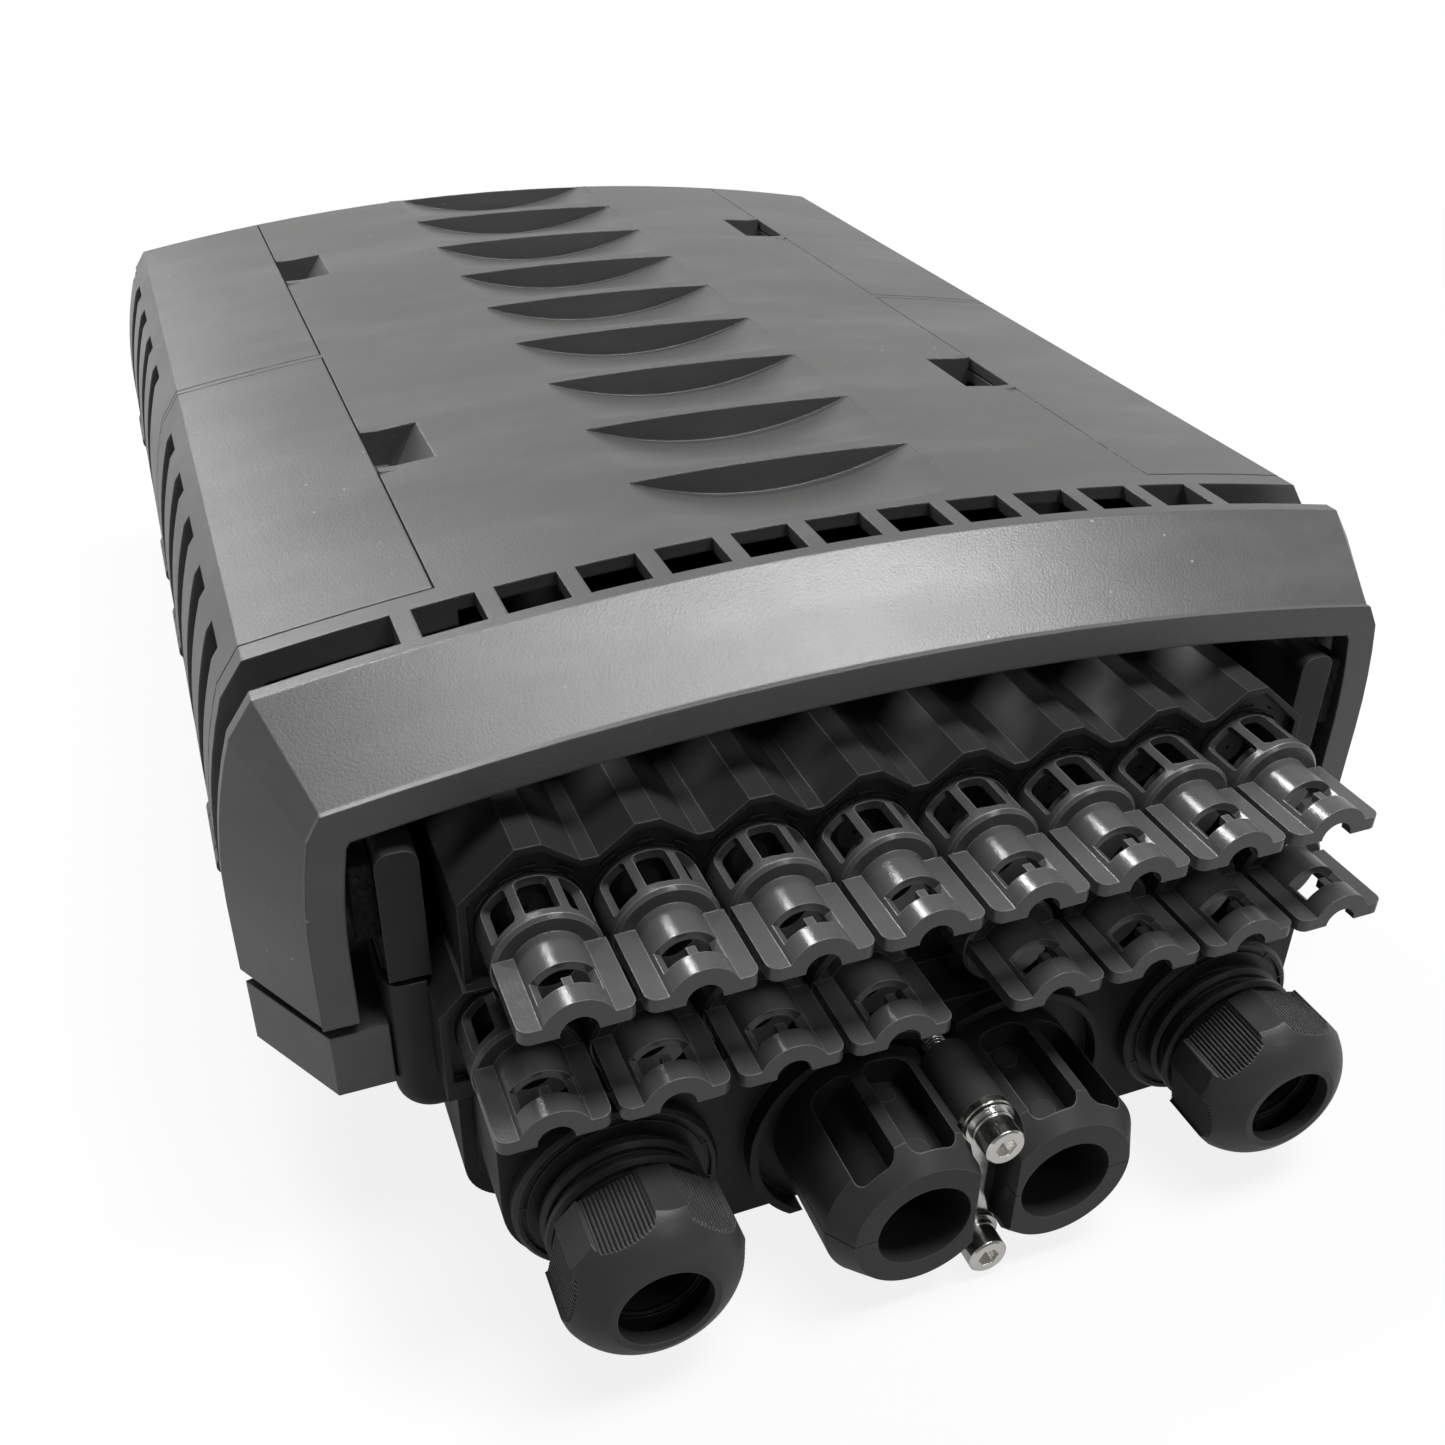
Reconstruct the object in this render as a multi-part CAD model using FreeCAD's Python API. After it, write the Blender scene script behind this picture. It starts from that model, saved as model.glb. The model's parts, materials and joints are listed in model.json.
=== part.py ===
import FreeCAD, Part
import math
import os
from collections import namedtuple

# Fibre termination box for drop cables, lying on its back: a louvred sun shield over a sealed closure,
# with two rows of drop ports, two screwed glands and a two-cable entry at the front end.
# Millimetres. +Z is away from the wall, -Y is the port end, X runs across the box.

V = FreeCAD.Vector
SIDES = {"left": -1, "right": 1}

# Overall sizes of the sun shield
SHIELD_HEIGHT = 130.3
SHIELD_FRONT_Y = -135.0
SHIELD_REAR_Y = 204.0
SHIELD_BOTTOM_Z = 59.6
SHELL = 3.0
SKIN_SPACE = 24.7

# Shield cross-section: crowned top, bevelled edge, bowed side
CROWN_RADIUS = 670.0
EDGE_SET_IN = 11.0
BEVEL_SET_IN = 6.0
BEVEL_DROP = 7.2
WIDEST_Z = 76.0

# Hood over the ports
HOOD_LENGTH = 23.3
HOOD_CREASE_BACK = 1.3
HOOD_TAPER = 12.5
HOOD_DROP = 12.9
HOOD_EDGE_SET_IN = 5.5
HOOD_BEVEL_SET_IN = 2.6
HOOD_BEVEL_DROP = 5.1
HOOD_WALL = 4.5
LIP_WIDTH = 7.0
LIP_DEPTH = 5.0

# Rounded rear end of the shield
REAR_ROUND_LENGTH = 14.0
REAR_SHOULDER_BACK = 5.0
REAR_SHOULDER_INSET = 2.5
REAR_END_INSET = 8.0

# Row of vent windows behind the hood
WINDOW_COUNT = 11
WINDOW_PITCH = 16.3
WINDOW_WIDTH = 12.5
WINDOW_FRONT_Y = -108.4
WINDOW_REAR_Y = -96.9
END_VENT_X = 91.8
END_VENT_BOTTOM_Z = 76.0

# Blind louvre scoops down the middle of the shield
LOUVRE_COUNT = 9
LOUVRE_PITCH = 32.3
LOUVRE_FIRST_Y = -65.2
LOUVRE_HALF_WIDTH = 33.5
LOUVRE_DEPTH = 7.5
LOUVRE_RUN = 30.0
LOUVRE_WALL = 2.5
LOUVRE_TIP_DIP = 0.25
LOUVRE_CAP = 0.8

# Hinged side panels
SEAM_X = 81.75
PANEL_THICKNESS = 2.8
PANEL_GAP = 0.4
PANEL_FRONT_Y = -91.3
PANEL_SPLIT_Y = 50.3
PANEL_SPLIT_RIB = 2.4
PANEL_REAR_MARGIN = 4.0
PANEL_SLOTS = 5
PANEL_SLOT_PITCH = 26.3
PANEL_SLOT_WIDTH = 11.5
PANEL_SLOT_TOP_Z = 114.5
PANEL_SLOT_BOTTOM_Z = 76.0
SLOT_START = {"front": 10.3, "rear": 27.0}

# Finger pockets beside the panels
POCKET_LENGTH = 22.0
POCKET_WIDTH = 13.3
POCKET_RAMP = 7.6
POCKET_DEPTH = 10.0
POCKET_WALL = 2.4
POCKET_CAP = 1.0
POCKET_START = {"front": 60.7, "rear": 68.1}

# Side panel hinges
PANEL_PIN_R = 0.9
PANEL_PIN_PLAY = 0.05
PANEL_KNUCKLE_R = 2.4
PANEL_KNUCKLE_LENGTH = 12.0
PANEL_LUG_LENGTH = 5.0
PANEL_HINGE_Z = 62.5
PANEL_HINGE_SET_IN = 22.0
HINGE_END_GAP = 0.4

# Windows under the panels that give access to the lid bolts
ACCESS_LENGTH = 46.0
ACCESS_INBOARD = 16.5
ACCESS_OUTBOARD = 6.5
ACCESS_BELOW_LID_TOP = 5.0

# Rear frame, the lower half of the outer skin
FRAME_TOP_Z = 56.9
FRAME_HEIGHT = 15.0
FRAME_WALL = 3.0
FRAME_WAIST = 8.5
FRAME_FRONT_SET_IN = 1.0
FRAME_SIDE_SET_IN = 0.6
FRAME_WAIST_BACK = 1.4
FRAME_REAR_SET_IN = 1.0

# Inner closure
CLOSURE_FOOT_STEP = 11.0
CLOSURE_STEP_Z = 32.0
CLOSURE_STEP_R = 8.0
CLOSURE_FRONT_R = 4.0
CLOSURE_FRONT_Y = -136.0
CLOSURE_REAR_Y = 197.0
CLOSURE_WALL = 3.0
CLOSURE_BACK_Z = 2.0
CLOSURE_PARTING_Z = 67.0
CLOSURE_CORNER_R = 12.0
GASKET_WIDTH = 2.0
GASKET_HEIGHT = 2.4
GASKET_GROOVE = 1.2
LID_LIFT = 1.5
LID_EDGE = 1.0
LID_TOP_Z = 110.0
LID_FRONT_Y = -108.0
LID_WALL = 3.0
LID_CORNER_R = 8.0
CHEEK_GAP = 4.55
CHEEK_THICKNESS = 8.0
CHEEK_TOP_Z = 98.0
DOORWAY_STEP = 1.0
CHEEK_CORNER_R = 3.0
EAR_REACH = 13.0
EAR_LENGTH = 20.0
EAR_THICKNESS = 5.0
EAR_HOLE_R = 4.0
BOLT_R = 3.0
BOLT_HEAD_R = 5.0
BOLT_HEAD_HEIGHT = 6.0
BOLT_SOCKET_AF = 5.0
BOLT_SOCKET_DEPTH = 3.0
PORT_GAP_BELOW = 4.0

# Standoffs between the shield and the lid
STANDOFF_X = 60.0
STANDOFF_YS = (-80.0, 176.0)
STANDOFF_R = 6.0
STANDOFF_SCREW_R = 2.0
STANDOFF_SCREW_LENGTH = 12.0
STANDOFF_SCREW_SPARE = 2.0
STANDOFF_SCREW_HEAD_R = 3.8
STANDOFF_SCREW_HEAD = 2.6

# Lid hinge at the rear end
LID_HINGE_OUT = 5.0
LID_HINGE_Z = 58.3
LID_KNUCKLE_R = 4.0
LID_KNUCKLE_LENGTH = 20.0
FRAME_KNUCKLE_LENGTH = 8.0
LID_PIN_R = 2.0
LID_PIN_PLAY = 0.05
LID_HINGE_X = 62.0
LID_ARM_HEIGHT = 3.0
LID_ARM_ROOT = 2.0
FRAME_ARM_HEIGHT = 9.0
FRAME_ARM_ROOT = 3.0

# Foam strips between the hood's legs and the lid
FOAM_THICKNESS = 4.6
FOAM_BOTTOM_Z = 78.0
FOAM_LENGTH = 22.0
FOAM_BACK = 2.0

# Mounting pads on the back
PAD_R = 11.0
PAD_X = 70.0
PAD_YS = (-90.0, 90.0)
INSERT_R = 4.5
INSERT_BORE_R = 2.5
INSERT_LENGTH = 12.0
INSERT_BOSS_R = 7.5

# Drop ports
PORT_PITCH = 22.5
PORTS_PER_ROW = 8
UPPER_AXIS_Z = 81.1
LOWER_AXIS_Z = 59.0
LOWER_CENTRE_GAP = 33.75
PORT_HOLE_R = 7.5
UPPER_FRONT_Y = -143.5
LOWER_FRONT_Y = -145.5
RECESS_DEPTH = 2.0
SOCKET_DEPTH = 8.0
SOCKET_CLEARANCE = 0.15
RECESS_WALL = 1.6
PORT_PLATE = 4.0
BLOCK_WALL = 3.2
LOBE_PEAK = 17.7
LOBE_VALLEY = 12.3
LOBE_FLAT = 5.0
VALLEY_FLAT = 3.3
LOBE_SHOULDER = 8.0
PORT_SIDE = 13.7
PORT_BELOW = 13.6
RECESS_BELOW = 10.7
LOWER_SIDE = 13.7
LOWER_TOP = 11.4
LOWER_TOP_WALL = 0.7
LOWER_BELOW = 15.0
LOWER_CHAMFER = 5.0
BLOCK_REAR_Y = -104.0

# Cable panel under the ports
PANEL_PLATE_Y = -157.5
CABLE_PANEL_SET_IN = 3.0
CABLE_PANEL_TOP_Z = 48.0
CABLE_PANEL_CORNER_R = 22.0
CABLE_PLATE = 4.5

# Drop cable clamps
CAGE_R = 10.6
CAGE_WALL = 1.9
CAGE_LENGTH = 19.2
CAGE_RING = 2.2
CAGE_END = 1.4
CAGE_WINDOW_LENGTH = 9.6
CAGE_WINDOW_ANGLE = 36.0
CAGE_WINDOW_STEP = 46.0
CAGE_WINDOW_CORNER_R = 1.0
CAGE_CHAMFER = 0.7
NOSE_R = 7.1
NOSE_WALL = 1.7
NOSE_LENGTH = 18.7
NOSE_TAIL = 6.5
NOSE_END = 2.6
NOTCH_R = 3.5
WING_HALF_WIDTH = 10.5
WING_THICKNESS = 2.9
WING_CORNER_R = 2.2
NOSE_WINDOW_LENGTH = 5.6
NOSE_WINDOW_ANGLE = 112.0
NOSE_WINDOW_BACK = 4.6
NOSE_POST = 1.8
NOSE_POST_RISE = 0.5
NOSE_POST_HEIGHT = 5.9
NOSE_POST_REACH = 3.2
PLUG_FLANGE_R = 8.0
PLUG_FLANGE = 1.2
PLUG_CONE = 3.0
PLUG_STEP = 1.0

# Cable glands
GLAND_X = 69.4
GLAND_Z = 24.1
GLAND_FLANGE_R = 21.2
GLAND_FLANGE = 3.6
GLAND_FLANGE_CHAMFER = 0.8
GLAND_GROOVE_R = 18.6
GLAND_GROOVE_WIDTH = 0.9
GLAND_GROOVE_DEPTH = 0.8
GLAND_NECK_R = 14.8
GLAND_NECK_LENGTH = 9.4
GLAND_RING_R = 16.8
GLAND_RING = 2.6
GLAND_RING_FIRST = 1.4
GLAND_RING_PITCH = 4.2
GLAND_RING_COUNT = 2
GLAND_RING_CHAMFER = 0.8
GLAND_THREAD_R = 14.0
GLAND_THREAD_LENGTH = 21.5
GLAND_BORE_R = 10.6
GLAND_TAIL_R = 12.0
GLAND_TAIL_LENGTH = 16.0
LOCKNUT_AF = 28.0
LOCKNUT_HEIGHT = 6.0
NUT_AF = 33.6
NUT_LAND_AF = 36.4
NUT_LAND_WIDTH = 6.4
NUT_BACK_GAP = 10.9
NUT_GRIP_LENGTH = 10.5
NUT_DOME_LENGTH = 7.2
NUT_DOME_R = 18.4
NUT_DOME_BULGE_R = 16.6
NUT_DOME_BULGE = 3.1
NUT_END_R = 10.9
NUT_HOLE_R = 9.4
NUT_WALL_AT_HOLE = 3.0
NUT_CLEARANCE = 0.35
NUT_RIB_COUNT = 13
NUT_RIB_PITCH = 0.86
NUT_RIB_GROOVE = 0.42
NUT_RIB_DEPTH = 0.42
NUT_TURN = {"left": 49.0, "right": 11.0}
GLAND_SEAL_BORE_R = 9.4
GLAND_SEAL_LENGTH = 14.0

# Two-cable entry between the glands
ENTRY_X = 15.8
ENTRY_Z = 22.0
ENTRY_HOLE_R = 10.1
ENTRY_R = 19.0
ENTRY_FRONT_R = 15.0
ENTRY_FRONT_Y = -188.3
ENTRY_NOSE_LENGTH = 5.6
ENTRY_SPLIT = 0.3
ENTRY_SLOT_HALF = 4.4
ENTRY_POCKET_FRONT = 3.4
ENTRY_POCKET_LENGTH = 23.3
ENTRY_POCKET_FLOOR_R = 12.4
ENTRY_POCKET_BOTTOM = 4.0
ENTRY_POCKET_CORNER_R = 2.5
ENTRY_BOSS_WALL = 2.6
ENTRY_SIDE_WALL = 5.2
ENTRY_RIB = 2.6
ENTRY_RIB_OUT = 4.2
ENTRY_PANEL_CLEARANCE = 1.0
COLLAR_R = 25.8
COLLAR_WALL = 1.8
COLLAR_LENGTH = 4.0
ENTRY_SEAL_LENGTH = 12.0
ENTRY_SEAL_WALL = 3.0
ENTRY_SCREW_OFFSET = 16.0
BOSS_R = 5.6
BOSS_LENGTH = 16.5
BOSS_WEB_HALF = 4.8
BOSS_CLEARANCE = 0.8
STRIP_Y = -180.0
STRIP_THICKNESS = 1.5
STRIP_END_R = 5.6
STRIP_SHOULDER = 3.6
STRIP_WAIST = 3.2
STRIP_WAIST_LENGTH = 9.0
STRIP_HOLE_R = 2.7
WASHER_R = 5.4
WASHER_THICKNESS = 1.0
SPRING_WASHER_R = 4.5
SPRING_WASHER_THICKNESS = 1.2
SCREW_R = 2.5
SCREW_HEAD_R = 4.25
SCREW_HEAD_LENGTH = 5.0
SCREW_HEAD_CHAMFER = 0.4
SCREW_SOCKET_AF = 4.0
SCREW_SOCKET_DEPTH = 2.6
SCREW_LENGTH = 34.0

# Parts inside the closure
ADAPTER_PANEL_Y = -66.0
ADAPTER_PANEL_THICKNESS = 2.0
ADAPTER_PANEL_SET_IN = 6.0
ADAPTER_FOOT = 14.0
ADAPTER_WIDTH = 9.0
ADAPTER_HEIGHT = 13.0
ADAPTER_LENGTH = 26.0
ADAPTER_FLANGE = 2.0
ADAPTER_FLANGE_EXTRA = 2.0
ADAPTER_CAVITY = 1.6
ADAPTER_CAVITY_DEPTH = 9.0
TRAY_HALF_WIDTH = 82.0
TRAY_FRONT_Y = -22.0
TRAY_REAR_Y = 150.0
TRAY_FLOOR_Z = 52.0
TRAY_DEPTH = 12.0
TRAY_WALL = 2.0
TRAY_HUB_R = 24.0
TRAY_HUB_FROM_FRONT = 36.0
TRAY_CORNER_R = 20.0
TRAY_COVER_THICKNESS = 1.6
COMB_COUNT = 12
COMB_PITCH = 4.4
COMB_RIB = 1.4
COMB_LENGTH = 42.0
COMB_HEIGHT = 5.0
POST_R = 5.0
POST_INSET = 12.0
SPLITTER_LENGTH = 62.0
SPLITTER_WIDTH = 14.0
SPLITTER_HEIGHT = 6.0
SPLITTER_EDGE_R = 1.0
SPLITTER_Y = 40.0
FEEDER_BLOCK_Y = -92.0
FEEDER_BLOCK_LENGTH = 14.0
FEEDER_BLOCK_HALF_WIDTH = 34.0
FEEDER_BAR = 5.0
FEEDER_GRIP = 2.0

Section = namedtuple("Section", "crown_z edge_x bevel_x bevel_z side_x")


def crown_at(crown_z, x):
    """Height of the crowned top at a distance x from the middle."""
    return crown_z - CROWN_RADIUS + math.sqrt(CROWN_RADIUS ** 2 - x * x)


def make_section(half_width, crown_z, edge_set_in, bevel_set_in, bevel_drop):
    edge_x = half_width - edge_set_in
    bevel_z = crown_at(crown_z, edge_x) - bevel_drop
    return Section(crown_z, edge_x, half_width - bevel_set_in, bevel_z, half_width)


UPPER_XS = [(k - (PORTS_PER_ROW - 1) / 2) * PORT_PITCH for k in range(PORTS_PER_ROW)]
LOWER_XS = [x + math.copysign((LOWER_CENTRE_GAP - PORT_PITCH) / 2, x) for x in UPPER_XS]
CHEEK_INNER_X = UPPER_XS[-1] + PORT_SIDE + CHEEK_GAP
LID_HALF_WIDTH = CHEEK_INNER_X + CHEEK_THICKNESS
CLOSURE_HALF_WIDTH = LID_HALF_WIDTH + LID_EDGE
CLOSURE_FOOT_HALF_WIDTH = CLOSURE_HALF_WIDTH - CLOSURE_FOOT_STEP
CLOSURE_FLOOR_Z = CLOSURE_BACK_Z + CLOSURE_WALL
CABLE_PANEL_HALF_WIDTH = CLOSURE_FOOT_HALF_WIDTH - CABLE_PANEL_SET_IN
EAR_X = CLOSURE_HALF_WIDTH + EAR_REACH / 2
SHIELD_WIDTH = 2 * (CLOSURE_HALF_WIDTH + SKIN_SPACE)
MAIN = make_section(SHIELD_WIDTH / 2, SHIELD_HEIGHT, EDGE_SET_IN, BEVEL_SET_IN, BEVEL_DROP)
HOOD = make_section(SHIELD_WIDTH / 2 - HOOD_TAPER, SHIELD_HEIGHT - HOOD_DROP, HOOD_EDGE_SET_IN,
                    HOOD_BEVEL_SET_IN, HOOD_BEVEL_DROP)
HOOD_REAR_Y = SHIELD_FRONT_Y + HOOD_LENGTH
HOOD_CREASE_Y = SHIELD_FRONT_Y + HOOD_CREASE_BACK
FRAME_FRONT_Y = SHIELD_FRONT_Y + FRAME_SIDE_SET_IN
PANEL_REAR_Y = SHIELD_REAR_Y - PANEL_REAR_MARGIN
PANEL_DEPTH = PANEL_THICKNESS + PANEL_GAP
PANEL_SPANS = {"front": (PANEL_FRONT_Y, PANEL_SPLIT_Y - PANEL_SPLIT_RIB / 2),
               "rear": (PANEL_SPLIT_Y + PANEL_SPLIT_RIB / 2, PANEL_REAR_Y)}
PANEL_HINGE_X = SHIELD_WIDTH / 2 - PANEL_THICKNESS / 2
LID_BOTTOM_Z = CLOSURE_PARTING_Z + LID_LIFT
LID_HINGE_Y = SHIELD_REAR_Y + LID_HINGE_OUT
LID_REAR_Y = CLOSURE_REAR_Y - LID_EDGE
BOLT_YS = [(span[0] + span[1]) / 2 for span in PANEL_SPANS.values()]
GLAND_FACE_Y = PANEL_PLATE_Y - GLAND_FLANGE
GLAND_THREAD_END_Y = GLAND_FACE_Y - GLAND_THREAD_LENGTH
WASHER_FACE_Y = STRIP_Y - STRIP_THICKNESS - WASHER_THICKNESS
SCREW_SEAT_Y = WASHER_FACE_Y - SPRING_WASHER_THICKNESS
SCREW_ZS = (ENTRY_Z + ENTRY_SCREW_OFFSET, ENTRY_Z - ENTRY_SCREW_OFFSET)
# How far a cutting tool reaches past the face it opens
PAST = 1.0


# Simple solids

def box(x0, x1, y0, y1, z0, z1):
    return Part.makeBox(x1 - x0, y1 - y0, z1 - z0, V(x0, y0, z0))


def slab(half_width, y0, y1, z0, z1):
    """A box centred on X = 0."""
    return box(-half_width, half_width, y0, y1, z0, z1)


def rod_y(x, z, radius, y0, y1):
    return Part.makeCylinder(radius, y1 - y0, V(x, y0, z), V(0, 1, 0))


def rod_x(y, z, radius, x0, x1):
    return Part.makeCylinder(radius, x1 - x0, V(x0, y, z), V(1, 0, 0))


def rod_z(x, y, radius, z0, z1):
    return Part.makeCylinder(radius, z1 - z0, V(x, y, z0), V(0, 0, 1))


def cone_y(x, z, r0, r1, y0, y1):
    return Part.makeCone(r0, r1, y1 - y0, V(x, y0, z), V(0, 1, 0))


def outline_y(points, y0, y1):
    """Extrude an outline of (x, z) points along Y."""
    wire = Part.makePolygon([V(x, y0, z) for x, z in points] + [V(points[0][0], y0, points[0][1])])
    return Part.Face(wire).extrude(V(0, y1 - y0, 0))


def outline_z(points, z0, z1):
    """Extrude an outline of (x, y) points along Z."""
    wire = Part.makePolygon([V(x, y, z0) for x, y in points] + [V(points[0][0], points[0][1], z0)])
    return Part.Face(wire).extrude(V(0, 0, z1 - z0))


def hexagon_y(x, z, across_flats, y0, y1):
    radius = across_flats / math.sqrt(3)
    angles = [math.radians(60 * k) for k in range(6)]
    return outline_y([(x + radius * math.cos(a), z + radius * math.sin(a)) for a in angles], y0, y1)


def stadium_y(half_gap, z, radius, y0, y1):
    """Two rods side by side with the space between them filled."""
    ends = [rod_y(side * half_gap, z, radius, y0, y1) for side in (-1, 1)]
    return fuse([slab(half_gap, y0, y1, z - radius, z + radius)] + ends)


def sector_y(radius, width, y0, y1, middle):
    """Slice of a rod on the Y axis, width degrees wide, its middle turned from +Z towards +X."""
    sector = Part.makeCylinder(radius, y1 - y0, V(0, y0, 0), V(0, 1, 0), width)
    lean = sector.CenterOfMass
    sector.rotate(V(0, 0, 0), V(0, 1, 0), middle - math.degrees(math.atan2(lean.x, lean.z)))
    return sector


def fuse(shapes):
    joined = shapes[0].multiFuse(shapes[1:]) if len(shapes) > 1 else shapes[0]
    return joined.removeSplitter()


def cut(shape, tools):
    return shape.cut(Part.makeCompound(tools)) if tools else shape


def round_edges(shape, radius, chosen):
    """Fillet the edges for which chosen(edge) is true."""
    return shape.makeFillet(radius, [edge for edge in shape.Edges if chosen(edge)])


def bevel_at(shape, size, *ys):
    """Chamfer a rod's round edges at the given places along Y."""
    return shape.makeChamfer(size, [edge for edge in shape.Edges
                                    if any(abs(edge.CenterOfMass.y - y) < 1e-3 for y in ys)])


def runs_along(edge, axis):
    start, end = edge.Vertexes[0].Point, edge.Vertexes[-1].Point
    span = end - start
    return span.Length > 1e-6 and abs(span.dot(axis)) > 0.999 * span.Length


def mirror_x(shape):
    return shape.mirror(V(0, 0, 0), V(1, 0, 0))


def both_sides(shape):
    return [shape, mirror_x(shape)]


def save(name, *solids):
    shape = solids[0] if len(solids) == 1 else Part.makeCompound(list(solids))
    shape.exportStep(os.path.join("parts", name + ".step"))


# Shield sections

def line_meets_circle(point, direction, centre, radius, near):
    """The crossing of a line and a circle that lies nearest to a given point."""
    offset = point - centre
    half_b = offset.dot(direction)
    root = math.sqrt(half_b ** 2 - offset.dot(offset) + radius ** 2)
    crossings = [point + direction * (-half_b + sign * root) for sign in (-1, 1)]
    return min(crossings, key=lambda p: (p - near).Length)


def section_wire(section, inset, y, bottom_z=SHIELD_BOTTOM_Z):
    """Closed cross-section at y, moved inwards by inset on all but the open bottom."""
    edge = V(section.edge_x, 0, crown_at(section.crown_z, section.edge_x))
    bevel = V(section.bevel_x, 0, section.bevel_z)
    reach = section.side_x - section.bevel_x
    rise = section.bevel_z - WIDEST_Z
    side_radius = (reach ** 2 + rise ** 2) / (2 * reach)
    side_centre = V(section.side_x - side_radius, 0, WIDEST_Z)
    crown_centre = V(0, 0, section.crown_z - CROWN_RADIUS)
    along = (bevel - edge).normalize()
    start = edge - V(-along.z, 0, along.x) * inset
    upper = line_meets_circle(start, along, crown_centre, CROWN_RADIUS - inset, edge)
    lower = line_meets_circle(start, along, side_centre, side_radius - inset, bevel)
    widest = V(section.side_x - inset, 0, WIDEST_Z)
    half_angle = math.asin((lower.z - WIDEST_Z) / (side_radius - inset)) / 2
    middle = side_centre + V(math.cos(half_angle), 0, math.sin(half_angle)) * (side_radius - inset)
    foot = V(section.side_x - inset, 0, bottom_z)

    def at(point, side):
        return V(side * point.x, y, point.z)

    edges = [Part.makeLine(at(foot, -1), at(foot, 1)), Part.makeLine(at(foot, 1), at(widest, 1)),
             Part.Arc(at(widest, 1), at(middle, 1), at(lower, 1)).toShape(),
             Part.makeLine(at(lower, 1), at(upper, 1)),
             Part.Arc(at(upper, 1), V(0, y, section.crown_z - inset), at(upper, -1)).toShape(),
             Part.makeLine(at(upper, -1), at(lower, -1)),
             Part.Arc(at(lower, -1), at(middle, -1), at(widest, -1)).toShape(),
             Part.makeLine(at(widest, -1), at(foot, -1))]
    return Part.Wire(edges)


def section_prism(section, inset, y0, y1, bottom_z=SHIELD_BOTTOM_Z):
    return Part.Face(section_wire(section, inset, y0, bottom_z)).extrude(V(0, y1 - y0, 0))


def shield_hull(inset, bottom_z=SHIELD_BOTTOM_Z):
    """The shield's form behind the hood, moved inwards by inset."""
    round_y = SHIELD_REAR_Y - REAR_ROUND_LENGTH
    main = section_prism(MAIN, inset, HOOD_REAR_Y, round_y, bottom_z)
    stations = [(round_y, 0.0), (SHIELD_REAR_Y - REAR_SHOULDER_BACK - inset / 2, REAR_SHOULDER_INSET),
                (SHIELD_REAR_Y - inset, REAR_END_INSET)]
    wires = [section_wire(MAIN, inset + extra, y, bottom_z) for y, extra in stations]
    return main.fuse(Part.makeLoft(wires, True, True))


# Sun shield

def louvre_form(wall_y, grow, top_z):
    """Scoop below the crown: an arc at the wall that runs out to the surface towards the front."""
    half = LOUVRE_HALF_WIDTH + grow
    surface = crown_at(SHIELD_HEIGHT, LOUVRE_HALF_WIDTH)

    def wire(y, tip_z, bottom_z):
        tips = [V(-half, y, tip_z), V(half, y, tip_z)]
        arc = Part.Arc(tips[0], V(0, y, bottom_z), tips[1]).toShape()
        sides = [Part.makeLine(tips[1], V(half, y, top_z)),
                 Part.makeLine(V(half, y, top_z), V(-half, y, top_z)),
                 Part.makeLine(V(-half, y, top_z), tips[0])]
        return Part.Wire([arc] + sides)

    dip = LOUVRE_TIP_DIP
    deep = wire(wall_y + grow, surface - dip - grow, SHIELD_HEIGHT - LOUVRE_DEPTH - grow)
    flush = wire(wall_y - LOUVRE_RUN - grow, surface + dip - grow, SHIELD_HEIGHT + dip - grow)
    return Part.makeLoft([deep, flush], True, True)


def pocket_form(y0, grow):
    """Finger pocket against the seam on the right, with a ramp on its inboard side."""
    top = SHIELD_HEIGHT + PAST
    surface = crown_at(SHIELD_HEIGHT, SEAM_X - POCKET_WIDTH)
    floor = surface - POCKET_DEPTH - grow
    inner = SEAM_X - POCKET_WIDTH - grow
    outer = SEAM_X + (0.0 if grow else PANEL_GAP)
    cap = surface - POCKET_CAP if grow else top
    points = [(inner, cap), (inner, surface - grow / 2), (inner + POCKET_RAMP, floor), (outer, floor),
              (outer, cap)]
    return outline_y(points, y0 - grow, y0 + POCKET_LENGTH + grow)


def panel_hinge_ys(span):
    """Middles of a panel's two hinges."""
    return span[0] + PANEL_HINGE_SET_IN, span[1] - PANEL_HINGE_SET_IN


def panel_hinge_reach(length, gap=0.0):
    """How far a hinge's lugs and pin reach from its middle."""
    return PANEL_KNUCKLE_LENGTH / 2 + HINGE_END_GAP + length + gap


def panel_lugs(y):
    """Two lugs on the right side of the shield, one on each side of a panel knuckle."""
    inner_x = SHIELD_WIDTH / 2 - PANEL_DEPTH - SHELL
    lugs = []
    for side in (-1, 1):
        ends = sorted(y + side * panel_hinge_reach(length) for length in (0.0, PANEL_LUG_LENGTH))
        barrel = rod_y(PANEL_HINGE_X, PANEL_HINGE_Z, PANEL_KNUCKLE_R, *ends)
        web = box(inner_x, PANEL_HINGE_X, *ends, PANEL_HINGE_Z - PANEL_KNUCKLE_R,
                  PANEL_HINGE_Z + PANEL_KNUCKLE_R)
        bore = rod_y(PANEL_HINGE_X, PANEL_HINGE_Z, PANEL_PIN_R, *ends)
        lugs.append(fuse([barrel, web]).cut(bore))
    return lugs


def panel_recess(span):
    """The layer that a right-hand panel fills, with its gap."""
    below = SHIELD_BOTTOM_Z - PAST
    skin = shield_hull(-PAST, below).cut(shield_hull(PANEL_DEPTH, below - PAST))
    return skin.common(box(SEAM_X, SHIELD_WIDTH, span[0], span[1], 0, SHIELD_HEIGHT + PAST))


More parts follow.
